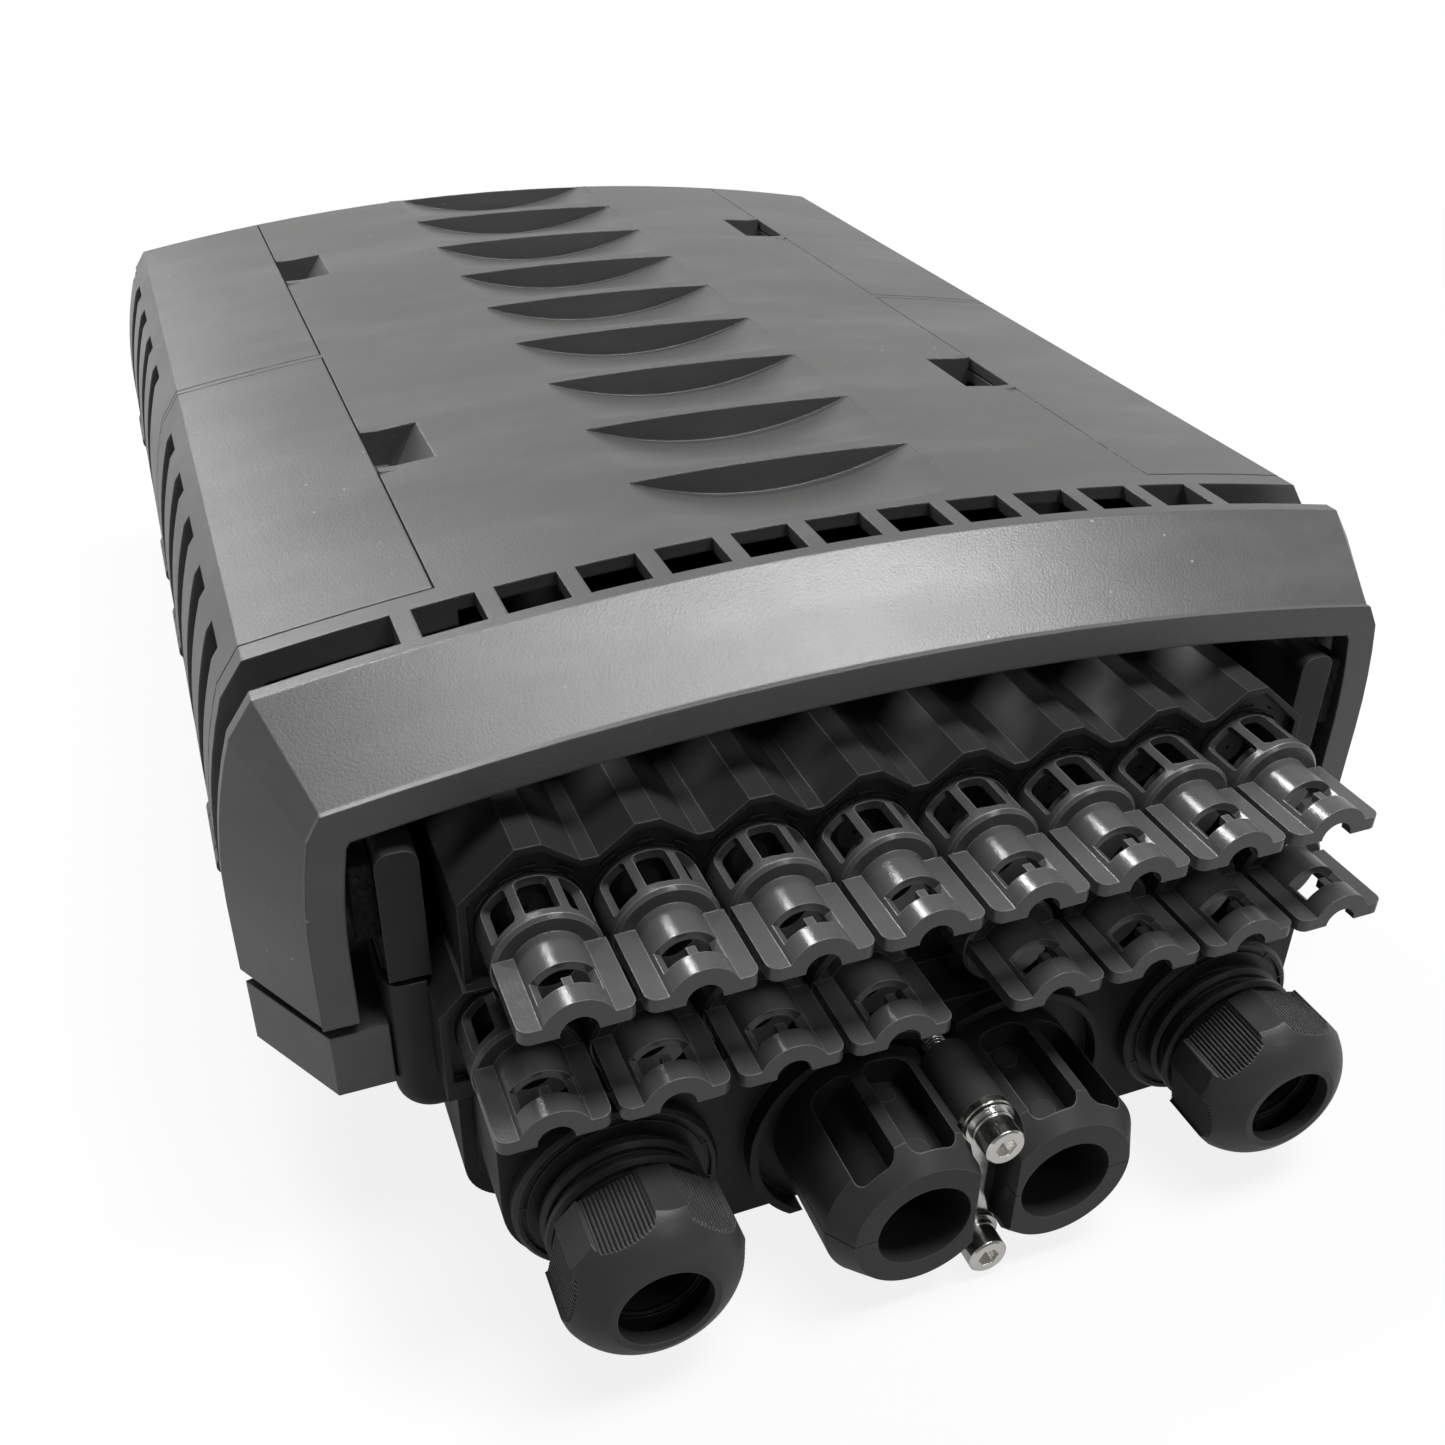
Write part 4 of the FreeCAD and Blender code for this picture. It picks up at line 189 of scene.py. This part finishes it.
class Surface:
    """A Principled material with helpers for the node patterns that the finishes share."""

    def __init__(self, name):
        self.material = bpy.data.materials.new(name)
        self.material.use_nodes = True
        self.nodes = self.material.node_tree.nodes
        self.links = self.material.node_tree.links
        self.shader = self.nodes["Principled BSDF"]
        self.place = self.nodes.new("ShaderNodeTexCoord").outputs["Object"]

    def set(self, **values):
        """Uniform numbers on the shader's own sockets, named with _ for a space."""
        for name, value in values.items():
            self.shader.inputs[name.replace("_", " ")].default_value = value
        return self

    def stretched(self, x, y, z):
        """Object coordinates scaled along each axis."""
        node = self.nodes.new("ShaderNodeMapping")
        node.inputs["Scale"].default_value = (x, y, z)
        self.links.new(self.place, node.inputs["Vector"])
        return node.outputs["Vector"]

    def noise(self, scale, detail=2.0, roughness=0.5, place=None):
        """Noise with about scale blotches to the metre."""
        node = self.nodes.new("ShaderNodeTexNoise")
        node.inputs["Scale"].default_value = scale
        node.inputs["Detail"].default_value = detail
        node.inputs["Roughness"].default_value = roughness
        self.links.new(place or self.place, node.inputs["Vector"])
        return node.outputs["Fac"]

    def ramp(self, source, low, high, from_low=NOISE_LOW, from_high=NOISE_HIGH):
        """Map a pattern, as a rule a noise, to a number between low and high."""
        return map_range(self.material.node_tree, source, low, high, from_low, from_high)

    def mix(self, factor, first, second):
        """Mix two colours; each is a colour value or another mix."""
        node = self.nodes.new("ShaderNodeMix")
        node.data_type = "RGBA"
        for key, value in (("A", first), ("B", second)):
            socket = [s for s in node.inputs if s.name == key and s.type == "RGBA"][0]
            if isinstance(value, tuple):
                socket.default_value = value
            else:
                self.links.new(value, socket)
        self.links.new(factor, [s for s in node.inputs if s.name == "Factor"][0])
        return [s for s in node.outputs if s.type == "RGBA"][0]

    def cloudy(self, pattern, first, second):
        """Mix two colours by a noise pattern."""
        return self.mix(self.ramp(pattern, 0.0, 1.0), first, second)

    def specks(self, scale, size):
        """Small scattered dots in drifts, as a 0 to 1 mask."""
        cells = self.nodes.new("ShaderNodeTexVoronoi")
        cells.inputs["Scale"].default_value = scale
        cells.inputs["Randomness"].default_value = 1.0
        self.links.new(self.place, cells.inputs["Vector"])
        dots = self.ramp(cells.outputs["Distance"], 1.0, 0.0, from_low=size * SPECK_CORE, from_high=size)
        drifts = self.ramp(self.noise(scale * DRIFT_SCALE), 0.0, 1.0, DRIFT_LOW, DRIFT_HIGH)
        return calculate(self.material.node_tree, "MULTIPLY", dots, drifts)

    def rounded(self, radius):
        """Normal that rounds the edges."""
        bevel = self.nodes.new("ShaderNodeBevel")
        bevel.samples = BEVEL_SAMPLES
        bevel.inputs["Radius"].default_value = radius
        return bevel.outputs["Normal"]

    def edges(self, radius):
        """1 along edges, where a moulding gets a painted highlight, and 0 on its faces."""
        turn = self.nodes.new("ShaderNodeVectorMath")
        turn.operation = "DOT_PRODUCT"
        self.links.new(self.rounded(radius), turn.inputs[0])
        self.links.new(self.nodes.new("ShaderNodeNewGeometry").outputs["Normal"], turn.inputs[1])
        # Mask for painted highlights: edges get lighter colour in place of light glinting on them
        return self.ramp(turn.outputs["Value"], 1.0, 0.0, from_low=PAINTED_HIGHLIGHT_COSINE, from_high=PLAIN_COSINE)

    def colour(self, source):
        self.links.new(source, self.shader.inputs["Base Color"])
        return self

    def roughness(self, pattern, low, high):
        """Roughness from low to high by a noise pattern."""
        self.links.new(self.ramp(pattern, low, high), self.shader.inputs["Roughness"])
        return self

    def relief(self, edge, layers):
        """Rounded edges, then bump layers of (pattern, depth in metres)."""
        normal = self.rounded(edge)
        for pattern, depth in layers:
            bump = self.nodes.new("ShaderNodeBump")
            bump.inputs["Strength"].default_value = 1.0
            bump.inputs["Distance"].default_value = depth
            self.links.new(pattern, bump.inputs["Height"])
            self.links.new(normal, bump.inputs["Normal"])
            normal = bump.outputs["Normal"]
        self.links.new(normal, self.shader.inputs["Normal"])
        return self


def map_range(tree, source, low, high, from_low=0.0, from_high=1.0):
    """Map a number from one range to another."""
    node = tree.nodes.new("ShaderNodeMapRange")
    for name, value in (("From Min", from_low), ("From Max", from_high), ("To Min", low), ("To Max", high)):
        node.inputs[name].default_value = value
    tree.links.new(source, node.inputs["Value"])
    return node.outputs["Result"]


def calculate(tree, operation, first, second):
    """Math node; the second value is a number or a socket."""
    node = tree.nodes.new("ShaderNodeMath")
    node.operation = operation
    tree.links.new(first, node.inputs[0])
    if isinstance(second, float):
        node.inputs[1].default_value = second
    else:
        tree.links.new(second, node.inputs[1])
    return node.outputs["Value"]


# Finishes, each named as its slot in the record

def shield_grey():
    """Grained dark grey moulding, wiped across its width, with a trace of dust."""
    s = Surface("shield_grey").set(Specular_IOR_Level=0.7)
    across = s.stretched(0.4, 1.3, 1.3)
    tones = ((0.075, 0.075, 0.074, 1.0), (0.086, 0.086, 0.084, 1.0))
    base = s.cloudy(s.noise(9.0, detail=4.0, roughness=0.6), *tones)
    streaks = s.noise(44.0, detail=6.0, roughness=0.66, place=across)
    smeared = s.mix(s.ramp(streaks, 0.0, 0.6, from_low=0.46, from_high=0.74), base, grey(0.125))
    s.colour(s.mix(s.specks(160.0, size=0.06), smeared, grey(0.40)))
    s.roughness(s.noise(24.0, detail=4.0, roughness=0.6, place=across), 0.285, 0.36)
    grain, waves = s.noise(1900.0, detail=3.0, roughness=0.6), s.noise(60.0)
    return s.relief(MOULDED_EDGE, [(grain, 60 * MICRON), (waves, 50 * MICRON)]).material


def closure_black():
    """Satin black moulding, with painted highlights along its edges."""
    s = Surface("closure_black").set(Specular_IOR_Level=0.3)
    base = s.cloudy(s.noise(18.0, detail=4.0, roughness=0.6), grey(0.022), grey(0.030))
    # Edges painted lighter grey: a painted highlight standing in for light glinting on them
    s.colour(s.mix(s.edges(PAINTED_HIGHLIGHT_EDGE), base, grey(0.16)))
    s.roughness(s.noise(30.0, detail=4.0, roughness=0.6), 0.40, 0.52)
    return s.relief(MOULDED_EDGE, [(s.noise(2200.0), 30 * MICRON)]).material


def clamp_black():
    """Semi-gloss black moulding of the drop clamps, with painted highlights along its edges."""
    s = Surface("clamp_black").set(Specular_IOR_Level=0.6)
    base = s.cloudy(s.noise(40.0, detail=3.0, roughness=0.6), grey(0.074), grey(0.090))
    # Edges painted lighter grey: a painted highlight standing in for light glinting on them
    s.colour(s.mix(s.edges(PAINTED_HIGHLIGHT_EDGE), base, grey(0.28)))
    s.roughness(s.noise(330.0, detail=5.0, roughness=0.7), 0.17, 0.26)
    wear, grain = s.noise(420.0, detail=3.0, roughness=0.6), s.noise(2600.0)
    return s.relief(CLAMP_EDGE, [(wear, 50 * MICRON), (grain, 30 * MICRON)]).material


def gland_black():
    """Satin black nylon, with painted highlights along its edges."""
    s = Surface("gland_black").set(Specular_IOR_Level=0.3)
    base = s.cloudy(s.noise(30.0, detail=3.0, roughness=0.6), grey(0.040), grey(0.050))
    # Edges painted lighter grey: a painted highlight standing in for light glinting on them
    s.colour(s.mix(s.edges(PAINTED_HIGHLIGHT_EDGE), base, grey(0.15)))
    s.roughness(s.noise(50.0, detail=4.0, roughness=0.6), 0.30, 0.42)
    return s.relief(SOFT_EDGE, [(s.noise(2000.0), 30 * MICRON)]).material


def rubber():
    s = Surface("rubber").set(Specular_IOR_Level=0.3)
    s.colour(s.cloudy(s.noise(60.0, detail=4.0), grey(0.034), grey(0.046)))
    s.roughness(s.noise(90.0, detail=4.0), 0.42, 0.58)
    return s.relief(SOFT_EDGE, [(s.noise(1500.0), 40 * MICRON)]).material


def foam():
    """Open-cell foam, pitted, with painted shade darkening its pits."""
    s = Surface("foam").set(Specular_IOR_Level=0.2)
    cells = s.noise(1100.0, detail=3.0, roughness=0.7)
    # Colour follows the pits' own pattern, darker where they sink: painted shade in the pits
    s.colour(s.cloudy(cells, grey(0.004), grey(0.022)))
    s.roughness(cells, 0.8, 0.95)
    return s.relief(SOFT_EDGE, [(cells, 400 * MICRON)]).material


def steel():
    """Bright turned and pressed stainless steel."""
    s = Surface("steel").set(Metallic=1.0)
    s.colour(s.cloudy(s.noise(120.0, detail=4.0), (0.76, 0.75, 0.72, 1.0), (0.84, 0.83, 0.80, 1.0)))
    s.roughness(s.noise(500.0, detail=3.0), 0.16, 0.26)
    return s.relief(METAL_EDGE, [(s.noise(3000.0), 10 * MICRON)]).material


def brass():
    s = Surface("brass").set(Metallic=1.0)
    s.colour(s.cloudy(s.noise(150.0, detail=4.0), (0.66, 0.47, 0.19, 1.0), (0.78, 0.60, 0.28, 1.0)))
    s.roughness(s.noise(400.0, detail=3.0), 0.29, 0.42)
    return s.relief(METAL_EDGE, [(s.noise(3000.0), 10 * MICRON)]).material


def splitter_metal():
    """Brushed metal of the splitter's case."""
    s = Surface("splitter_metal").set(Metallic=1.0)
    s.colour(s.cloudy(s.noise(90.0, detail=4.0), grey(0.62), grey(0.74)))
    s.roughness(s.noise(700.0, detail=3.0, roughness=0.5, place=s.stretched(1.0, 0.1, 1.0)), 0.30, 0.45)
    return s.relief(METAL_EDGE, [(s.noise(3500.0), 10 * MICRON)]).material


def adapter_green():
    s = Surface("adapter_green")
    s.colour(s.cloudy(s.noise(60.0, detail=3.0), (0.06, 0.34, 0.12, 1.0), (0.08, 0.42, 0.16, 1.0)))
    s.roughness(s.noise(90.0, detail=3.0), 0.29, 0.40)
    return s.relief(SOFT_EDGE, [(s.noise(2000.0), 20 * MICRON)]).material


def tray_white():
    s = Surface("tray_white")
    s.colour(s.cloudy(s.noise(25.0, detail=3.0), (0.66, 0.66, 0.63, 1.0), (0.74, 0.74, 0.72, 1.0)))
    s.roughness(s.noise(40.0, detail=4.0), 0.36, 0.50)
    return s.relief(MOULDED_EDGE, [(s.noise(2200.0), 30 * MICRON)]).material


def tray_cover():
    """Clear cover with a cool tint."""
    s = Surface("tray_cover").set(Alpha=0.45)
    s.colour(s.cloudy(s.noise(20.0, detail=3.0), (0.62, 0.66, 0.68, 1.0), (0.70, 0.74, 0.76, 1.0)))
    s.roughness(s.noise(60.0, detail=4.0), 0.10, 0.20)
    return s.relief(SOFT_EDGE, [(s.noise(300.0), 10 * MICRON)]).material


FINISHES = (steel, shield_grey, closure_black, clamp_black, gland_black, rubber, foam, brass, splitter_metal,
            adapter_green, tray_white, tray_cover)
FINISH_OF = {make.__name__: make() for make in FINISHES}


def shade_smooth(mesh):
    """Smooth shading on gentle curves, sharp on real edges."""
    mesh.shade_smooth()
    mesh.set_sharp_from_angle(angle=math.radians(SMOOTH_LIMIT))


def dress_nodes():
    """Give every node of the frame the finish that its slot in the record names."""
    for part in frame["record"]["subparts"]:
        mesh = frame["nodes"][part["node"]].data
        mesh.materials.clear()
        mesh.materials.append(FINISH_OF[part["material_slot"]])
        shade_smooth(mesh)


# Pieces that the frame doesn't hold, or holds only as plain solids

def add_piece(name, shape, slot, replaces=(), body="base"):
    """Object on a body from a bmesh, in the finish of a slot."""
    bmesh.ops.recalc_face_normals(shape, faces=shape.faces)
    mesh = bpy.data.meshes.new(name)
    shape.to_mesh(mesh)
    shape.free()
    shade_smooth(mesh)
    mesh.materials.append(FINISH_OF[slot])
    piece = bpy.data.objects.new(name, mesh)
    bpy.context.scene.collection.objects.link(piece)
    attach(piece, body)
    if replaces:
        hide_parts(*replaces)


def add_rings(shape, rings, closed):
    """Skin a row of equally long point loops; closed joins the last loop to the first."""
    loops = [[shape.verts.new(point) for point in ring] for ring in rings]
    pairs = list(zip(loops, loops[1:]))
    if closed:
        pairs.append((loops[-1], loops[0]))
    for first, second in pairs:
        for k in range(len(first)):
            following = (k + 1) % len(first)
            shape.faces.new((first[k], first[following], second[following], second[k]))
    if not closed:
        shape.faces.new(loops[0])
        shape.faces.new(loops[-1])


def round_y(x, z, radius, y, degrees):
    """Point at a radius from an axis along Y, at an angle from the top."""
    angle = math.radians(degrees)
    return Vector((x + radius * math.sin(angle), y, z + radius * math.cos(angle)))


def add_turned(shape, x, z, profile):
    """Ring about an axis along Y from a closed profile of (radius, y) points."""
    angles = [360 * k / TURN_STEPS for k in range(TURN_STEPS)]
    rings = [[round_y(x, z, radius, y, angle) for radius, y in profile] for angle in angles]
    add_rings(shape, rings, closed=True)


def clamp_axes(row):
    """Axis (x, z) and rear y of every clamp in a row."""
    axes = []
    for name in sorted(frame["nodes"]):
        if name.startswith("drop_clamp_" + row):
            low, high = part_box(name)
            axes.append(((low.x + high.x) / 2, (low.z + high.z) / 2, high.y))
    return axes


def add_snap_marks():
    """Short raised arcs on the plate above each upper port."""
    shape = bmesh.new()
    for x, z, rear in clamp_axes("upper"):
        plate = rear - MARK_BEHIND
        for radius, width, middles in MARK_ARCS:
            for middle in middles:
                rings = []
                for k in range(MARK_STEPS + 1):
                    angle = middle + width * (k / MARK_STEPS - 0.5)
                    section = [(radius + across * MARK_WIDTH, plate - out * MARK_HEIGHT)
                               for across, out in MARK_SECTION]
                    rings.append([round_y(x, z, *point, angle) for point in section])
                add_rings(shape, rings, closed=False)
    add_piece("port_snap_marks", shape, "closure_black")


def add_port_plugs():
    """Ribbed rubber blanks with a pin hole, in place of the plain ones."""
    for row in ROWS:
        axes = clamp_axes(row)
        low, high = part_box("port_plugs_" + row)
        hole = high.x - max(x for x, z, rear in axes)
        flange_y = high.y - PLUG_FLANGE
        shape = bmesh.new()
        for x, z, rear in axes:
            rib = (rear - low.y) / PLUG_RIBS
            profile = [(PLUG_PIN_HOLE, low.y)]
            for k in range(PLUG_RIBS):
                wide = hole * (PLUG_TIP_R + PLUG_RIB_GROWTH * k)
                profile += [(wide, low.y + k * rib),
                            (wide + PLUG_RIB_PROUD * hole, low.y + (k + PLUG_RIB_HEIGHT) * rib)]
            profile += [(hole * PLUG_BODY_R, rear), (hole * PLUG_BODY_R, flange_y), (hole, flange_y),
                        (hole, high.y), (PLUG_PIN_HOLE, high.y)]
            add_turned(shape, x, z, profile)
        add_piece("port_plug_row_" + row, shape, "rubber", ["port_plugs_" + row])


def add_gland_seals():
    """Sleeve with a rounded lip and inner ribs, in place of the plain ring."""
    for side in SIDES:
        low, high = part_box("gland_seal_" + side)
        x, z = (low.x + high.x) / 2, (low.z + high.z) / 2
        outer = (high.x - low.x) / 2
        bore = outer - SLEEVE_WALL
        rib = (high.y - low.y) / SLEEVE_RIBS
        profile = [(outer, low.y + LIP_LENGTH), (outer, high.y)]
        for k in reversed(range(SLEEVE_RIBS)):
            profile += [(bore, low.y + (k + SLEEVE_CREST_AT) * rib),
                        (bore + SLEEVE_GROOVE, low.y + (k + SLEEVE_GROOVE_AT) * rib)]
        profile += [(bore, low.y + LIP_INNER_LENGTH), (bore + LIP_INNER_ROUND, low.y),
                    (outer - LIP_OUTER_ROUND, low.y)]
        shape = bmesh.new()
        add_turned(shape, x, z, profile)
        add_piece("gland_sleeve_" + side, shape, "rubber", ["gland_seal_" + side])


def add_gasket():
    """D-section cord in the base's groove, in place of the square one."""
    low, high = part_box("lid_gasket")
    half = GASKET_WIDTH / 2
    x, rear = high.x - half, high.y - half
    crown = high.z - half
    arc = [math.pi * k / GASKET_ARC_STEPS for k in range(GASKET_ARC_STEPS + 1)]
    section = [(-half, low.z), (half, low.z)]
    section += [(half * math.cos(a), crown + half * math.sin(a)) for a in arc]
    rings = [[Vector((-x + out, low.y, z)) for out, z in section],
             [Vector((-x + out, rear - out, z)) for out, z in section],
             [Vector((x - out, rear - out, z)) for out, z in section],
             [Vector((x - out, low.y, z)) for out, z in section]]
    shape = bmesh.new()
    add_rings(shape, rings, closed=False)
    add_piece("gasket_cord", shape, "rubber", ["lid_gasket"])


def add_foam():
    """Pitted foam blocks in place of the plain strips."""
    for side in SIDES:
        low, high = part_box("foam_strip_" + side)
        middle, size = (low + high) / 2, high - low
        shape = bmesh.new()
        bmesh.ops.create_cube(shape, size=1.0)
        bmesh.ops.subdivide_edges(shape, edges=shape.edges, cuts=FOAM_CUTS, use_grid_fill=True)
        for vertex in shape.verts:
            place = middle + Vector(a * b for a, b in zip(vertex.co, size))
            inward = (middle - place).normalized()
            pit = noise.turbulence(place / FOAM_CELL, FOAM_OCTAVES, False) * FOAM_PIT
            corner = sum(abs(c) > FOAM_EDGE_FROM for c in vertex.co) - 1
            vertex.co = place + inward * (pit + corner * FOAM_ROUNDING)
        add_piece("foam_block_" + side, shape, "foam", ["foam_strip_" + side], "lid")


def add_screw_threads():
    """Thread on the clamp screws where they show between the entry's boss and the panel."""
    low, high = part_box("clamp_screws")
    head_r = (high.x - low.x) / 2
    start_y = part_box("entry_upper_half")[1].y - THREAD_FROM_PANEL
    turns = THREAD_LENGTH / THREAD_PITCH
    shape = bmesh.new()
    for z in (low.z + head_r, high.z - head_r):
        rings = []
        for k in range(int(turns * THREAD_STEPS)):
            angle = 360 * k / THREAD_STEPS
            y = start_y - THREAD_PITCH * k / THREAD_STEPS
            section = [(SCREW_SHANK_R + out * THREAD_PROUD, y + along * THREAD_PITCH)
                       for out, along in THREAD_SECTION]
            rings.append([round_y(0.0, z, *point, angle) for point in section])
        add_rings(shape, rings, closed=False)
    add_piece("clamp_screw_threads", shape, "steel")


def add_ejector_marks():
    """Round pads that the mould's pins leave on the floors of the entry's inner pockets."""
    shape = bmesh.new()
    low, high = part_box("entry_upper_half")
    along = Vector((0.0, 1.0, 0.0))
    circle = [2 * math.pi * k / EJECTOR_STEPS for k in range(EJECTOR_STEPS)]
    for side in (-1, 1):
        for from_panel in EJECTOR_FROM_PANEL:
            lean = math.radians(-side * EJECTOR_LEAN)
            out = Vector((math.sin(lean), 0.0, math.cos(lean)))
            across = along.cross(out)
            axis = Vector((side * ENTRY_AXIS_X, high.y - from_panel, low.z - ENTRY_SPLIT))
            middle = axis + out * (POCKET_FLOOR_R - EJECTOR_SUNK)
            rings = []
            for lift, radius in ((0.0, EJECTOR_R), (EJECTOR_PROUD + EJECTOR_SUNK, EJECTOR_R * EJECTOR_TOP_R)):
                rings.append([middle + out * lift + (along * math.cos(a) + across * math.sin(a)) * radius
                              for a in circle])
            add_rings(shape, rings, closed=False)
    add_piece("entry_ejector_marks", shape, "gland_black")


def add_flange_ticks():
    """Fine raised ticks round the face of each gland's flange."""
    shape = bmesh.new()
    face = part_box("entry_upper_half")[1].y - FLANGE_FROM_PANEL
    section = ((-1.0, TICK_SUNK), (1.0, TICK_SUNK), (TICK_TOP, -TICK_PROUD), (-TICK_TOP, -TICK_PROUD))
    for side in SIDES:
        low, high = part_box("gland_body_" + side)
        x, z = (low.x + high.x) / 2, (low.z + high.z) / 2
        rim = (high.x - low.x) / 2
        tip = rim - TICK_FROM_RIM
        half = math.degrees(TICK_WIDTH / 2 / rim)
        for k in range(TICKS):
            angle = 360 * (k + TICK_FIRST) / TICKS
            rings = [[round_y(x, z, radius, face + y, angle + turn * half) for turn, y in section]
                     for radius in (tip - TICK_LENGTH, tip)]
            add_rings(shape, rings, closed=False)
    add_piece("gland_flange_ticks", shape, "gland_black")


# Camera and studio

def add_camera():
    azimuth, elevation, roll = (math.radians(a) for a in (CAMERA_AZIMUTH, CAMERA_ELEVATION, CAMERA_ROLL))
    back = Vector((math.sin(azimuth) * math.cos(elevation), -math.cos(azimuth) * math.cos(elevation),
                   math.sin(elevation)))
    right = Vector((math.cos(azimuth), math.sin(azimuth), 0.0))
    up = back.cross(right)
    turned_right = math.cos(roll) * right + math.sin(roll) * up
    turned_up = math.cos(roll) * up - math.sin(roll) * right
    data = bpy.data.cameras.new("camera")
    data.lens = CAMERA_LENS
    data.sensor_width = CAMERA_SENSOR
    data.clip_start = CAMERA_CLIP
    camera = bpy.data.objects.new("camera", data)
    rows = [(turned_right[i], turned_up[i], back[i], CAMERA_PLACE[i]) for i in range(3)]
    camera.matrix_world = Matrix(rows + [(0.0, 0.0, 0.0, 1.0)])
    bpy.context.scene.collection.objects.link(camera)
    bpy.context.scene.camera = camera


def add_softbox(name, place, target, size, power):
    data = bpy.data.lights.new(name, "AREA")
    data.shape = "RECTANGLE"
    data.size, data.size_y = size
    data.energy = power
    light = bpy.data.objects.new(name, data)
    light.location = place
    light.rotation_euler = (Vector(target) - Vector(place)).to_track_quat("-Z", "Y").to_euler()
    bpy.context.scene.collection.objects.link(light)


def strength_by_ray(tree, seen, mirrored):
    """Strength to the camera, and the one that mirrors and glass show; 0 as light on the object."""
    path = tree.nodes.new("ShaderNodeLightPath")
    through = calculate(tree, "MAXIMUM", path.outputs["Is Glossy Ray"], path.outputs["Is Transmission Ray"])
    to_camera = calculate(tree, "MULTIPLY", path.outputs["Is Camera Ray"], seen)
    return calculate(tree, "MAXIMUM", to_camera, calculate(tree, "MULTIPLY", through, mirrored))


def add_world():
    """White to the camera, a pale backdrop under a dim ceiling in mirrors, a soft grey as light."""
    world = bpy.data.worlds.new("studio")
    bpy.context.scene.world = world
    world.use_nodes = True
    tree = world.node_tree
    background = tree.nodes["Background"]
    background.inputs["Color"].default_value = grey(1.0)
    way = tree.nodes.new("ShaderNodeSeparateXYZ")
    tree.links.new(tree.nodes.new("ShaderNodeTexCoord").outputs["Generated"], way.inputs["Vector"])
    height = map_range(tree, way.outputs["Z"], MIRRORED_BACKDROP, CEILING_LEVEL, CEILING_FROM_Z, CEILING_TO_Z)
    depth = map_range(tree, way.outputs["Y"], MIRRORED_ROOM, 1.0, ROOM_TO_Y, ROOM_FROM_Y)
    strength = strength_by_ray(tree, BACKDROP_WHITE, calculate(tree, "MULTIPLY", height, depth))
    tree.links.new(map_range(tree, strength, WORLD_LEVEL, BACKDROP_WHITE), background.inputs["Strength"])


def floor_material():
    """Pale and matt near the object, where its shadow falls, and glowing white further out."""
    material = bpy.data.materials.new("floor_white")
    material.use_nodes = True
    tree = material.node_tree
    shader = tree.nodes["Principled BSDF"]
    shader.inputs["Roughness"].default_value = FLOOR_ROUGHNESS
    camera_ray = tree.nodes.new("ShaderNodeLightPath").outputs["Is Camera Ray"]
    tree.links.new(map_range(tree, camera_ray, FLOOR_BOUNCE, FLOOR_WHITE), shader.inputs["Base Color"])
    glow = tree.nodes.new("ShaderNodeEmission")
    glow.inputs["Color"].default_value = grey(1.0)
    distance = tree.nodes.new("ShaderNodeVectorMath")
    distance.operation = "LENGTH"
    tree.links.new(tree.nodes.new("ShaderNodeTexCoord").outputs["Object"], distance.inputs[0])
    away = distance.outputs["Value"]
    seen = map_range(tree, away, FLOOR_GLOW, 1.0, FLOOR_SHADE_R, FLOOR_WHITE_R)
    mirrored = map_range(tree, away, MIRRORED_FLOOR, 1.0, FLOOR_SHADE_R, FLOOR_WHITE_R)
    blend = tree.nodes.new("ShaderNodeMixShader")
    tree.links.new(strength_by_ray(tree, seen, mirrored), blend.inputs["Fac"])
    tree.links.new(shader.outputs["BSDF"], blend.inputs[1])
    tree.links.new(glow.outputs["Emission"], blend.inputs[2])
    tree.links.new(blend.outputs["Shader"], tree.nodes["Material Output"].inputs["Surface"])
    return material


def add_floor():
    mesh = bpy.data.meshes.new("floor")
    half = FLOOR_SIZE / 2
    corners = [(-half, -half, 0), (half, -half, 0), (half, half, 0), (-half, half, 0)]
    mesh.from_pydata(corners, [], [(0, 1, 2, 3)])
    mesh.materials.append(floor_material())
    floor = bpy.data.objects.new("floor", mesh)
    bpy.context.scene.collection.objects.link(floor)


def add_studio():
    add_world()
    add_floor()
    for name, softbox in SOFTBOXES.items():
        add_softbox(name, **softbox)
    bpy.context.scene.view_settings.view_transform = "Standard"


dress_nodes()
add_snap_marks()
add_port_plugs()
add_gland_seals()
add_gasket()
add_foam()
add_screw_threads()
add_ejector_marks()
add_flange_ticks()
add_camera()
add_studio()
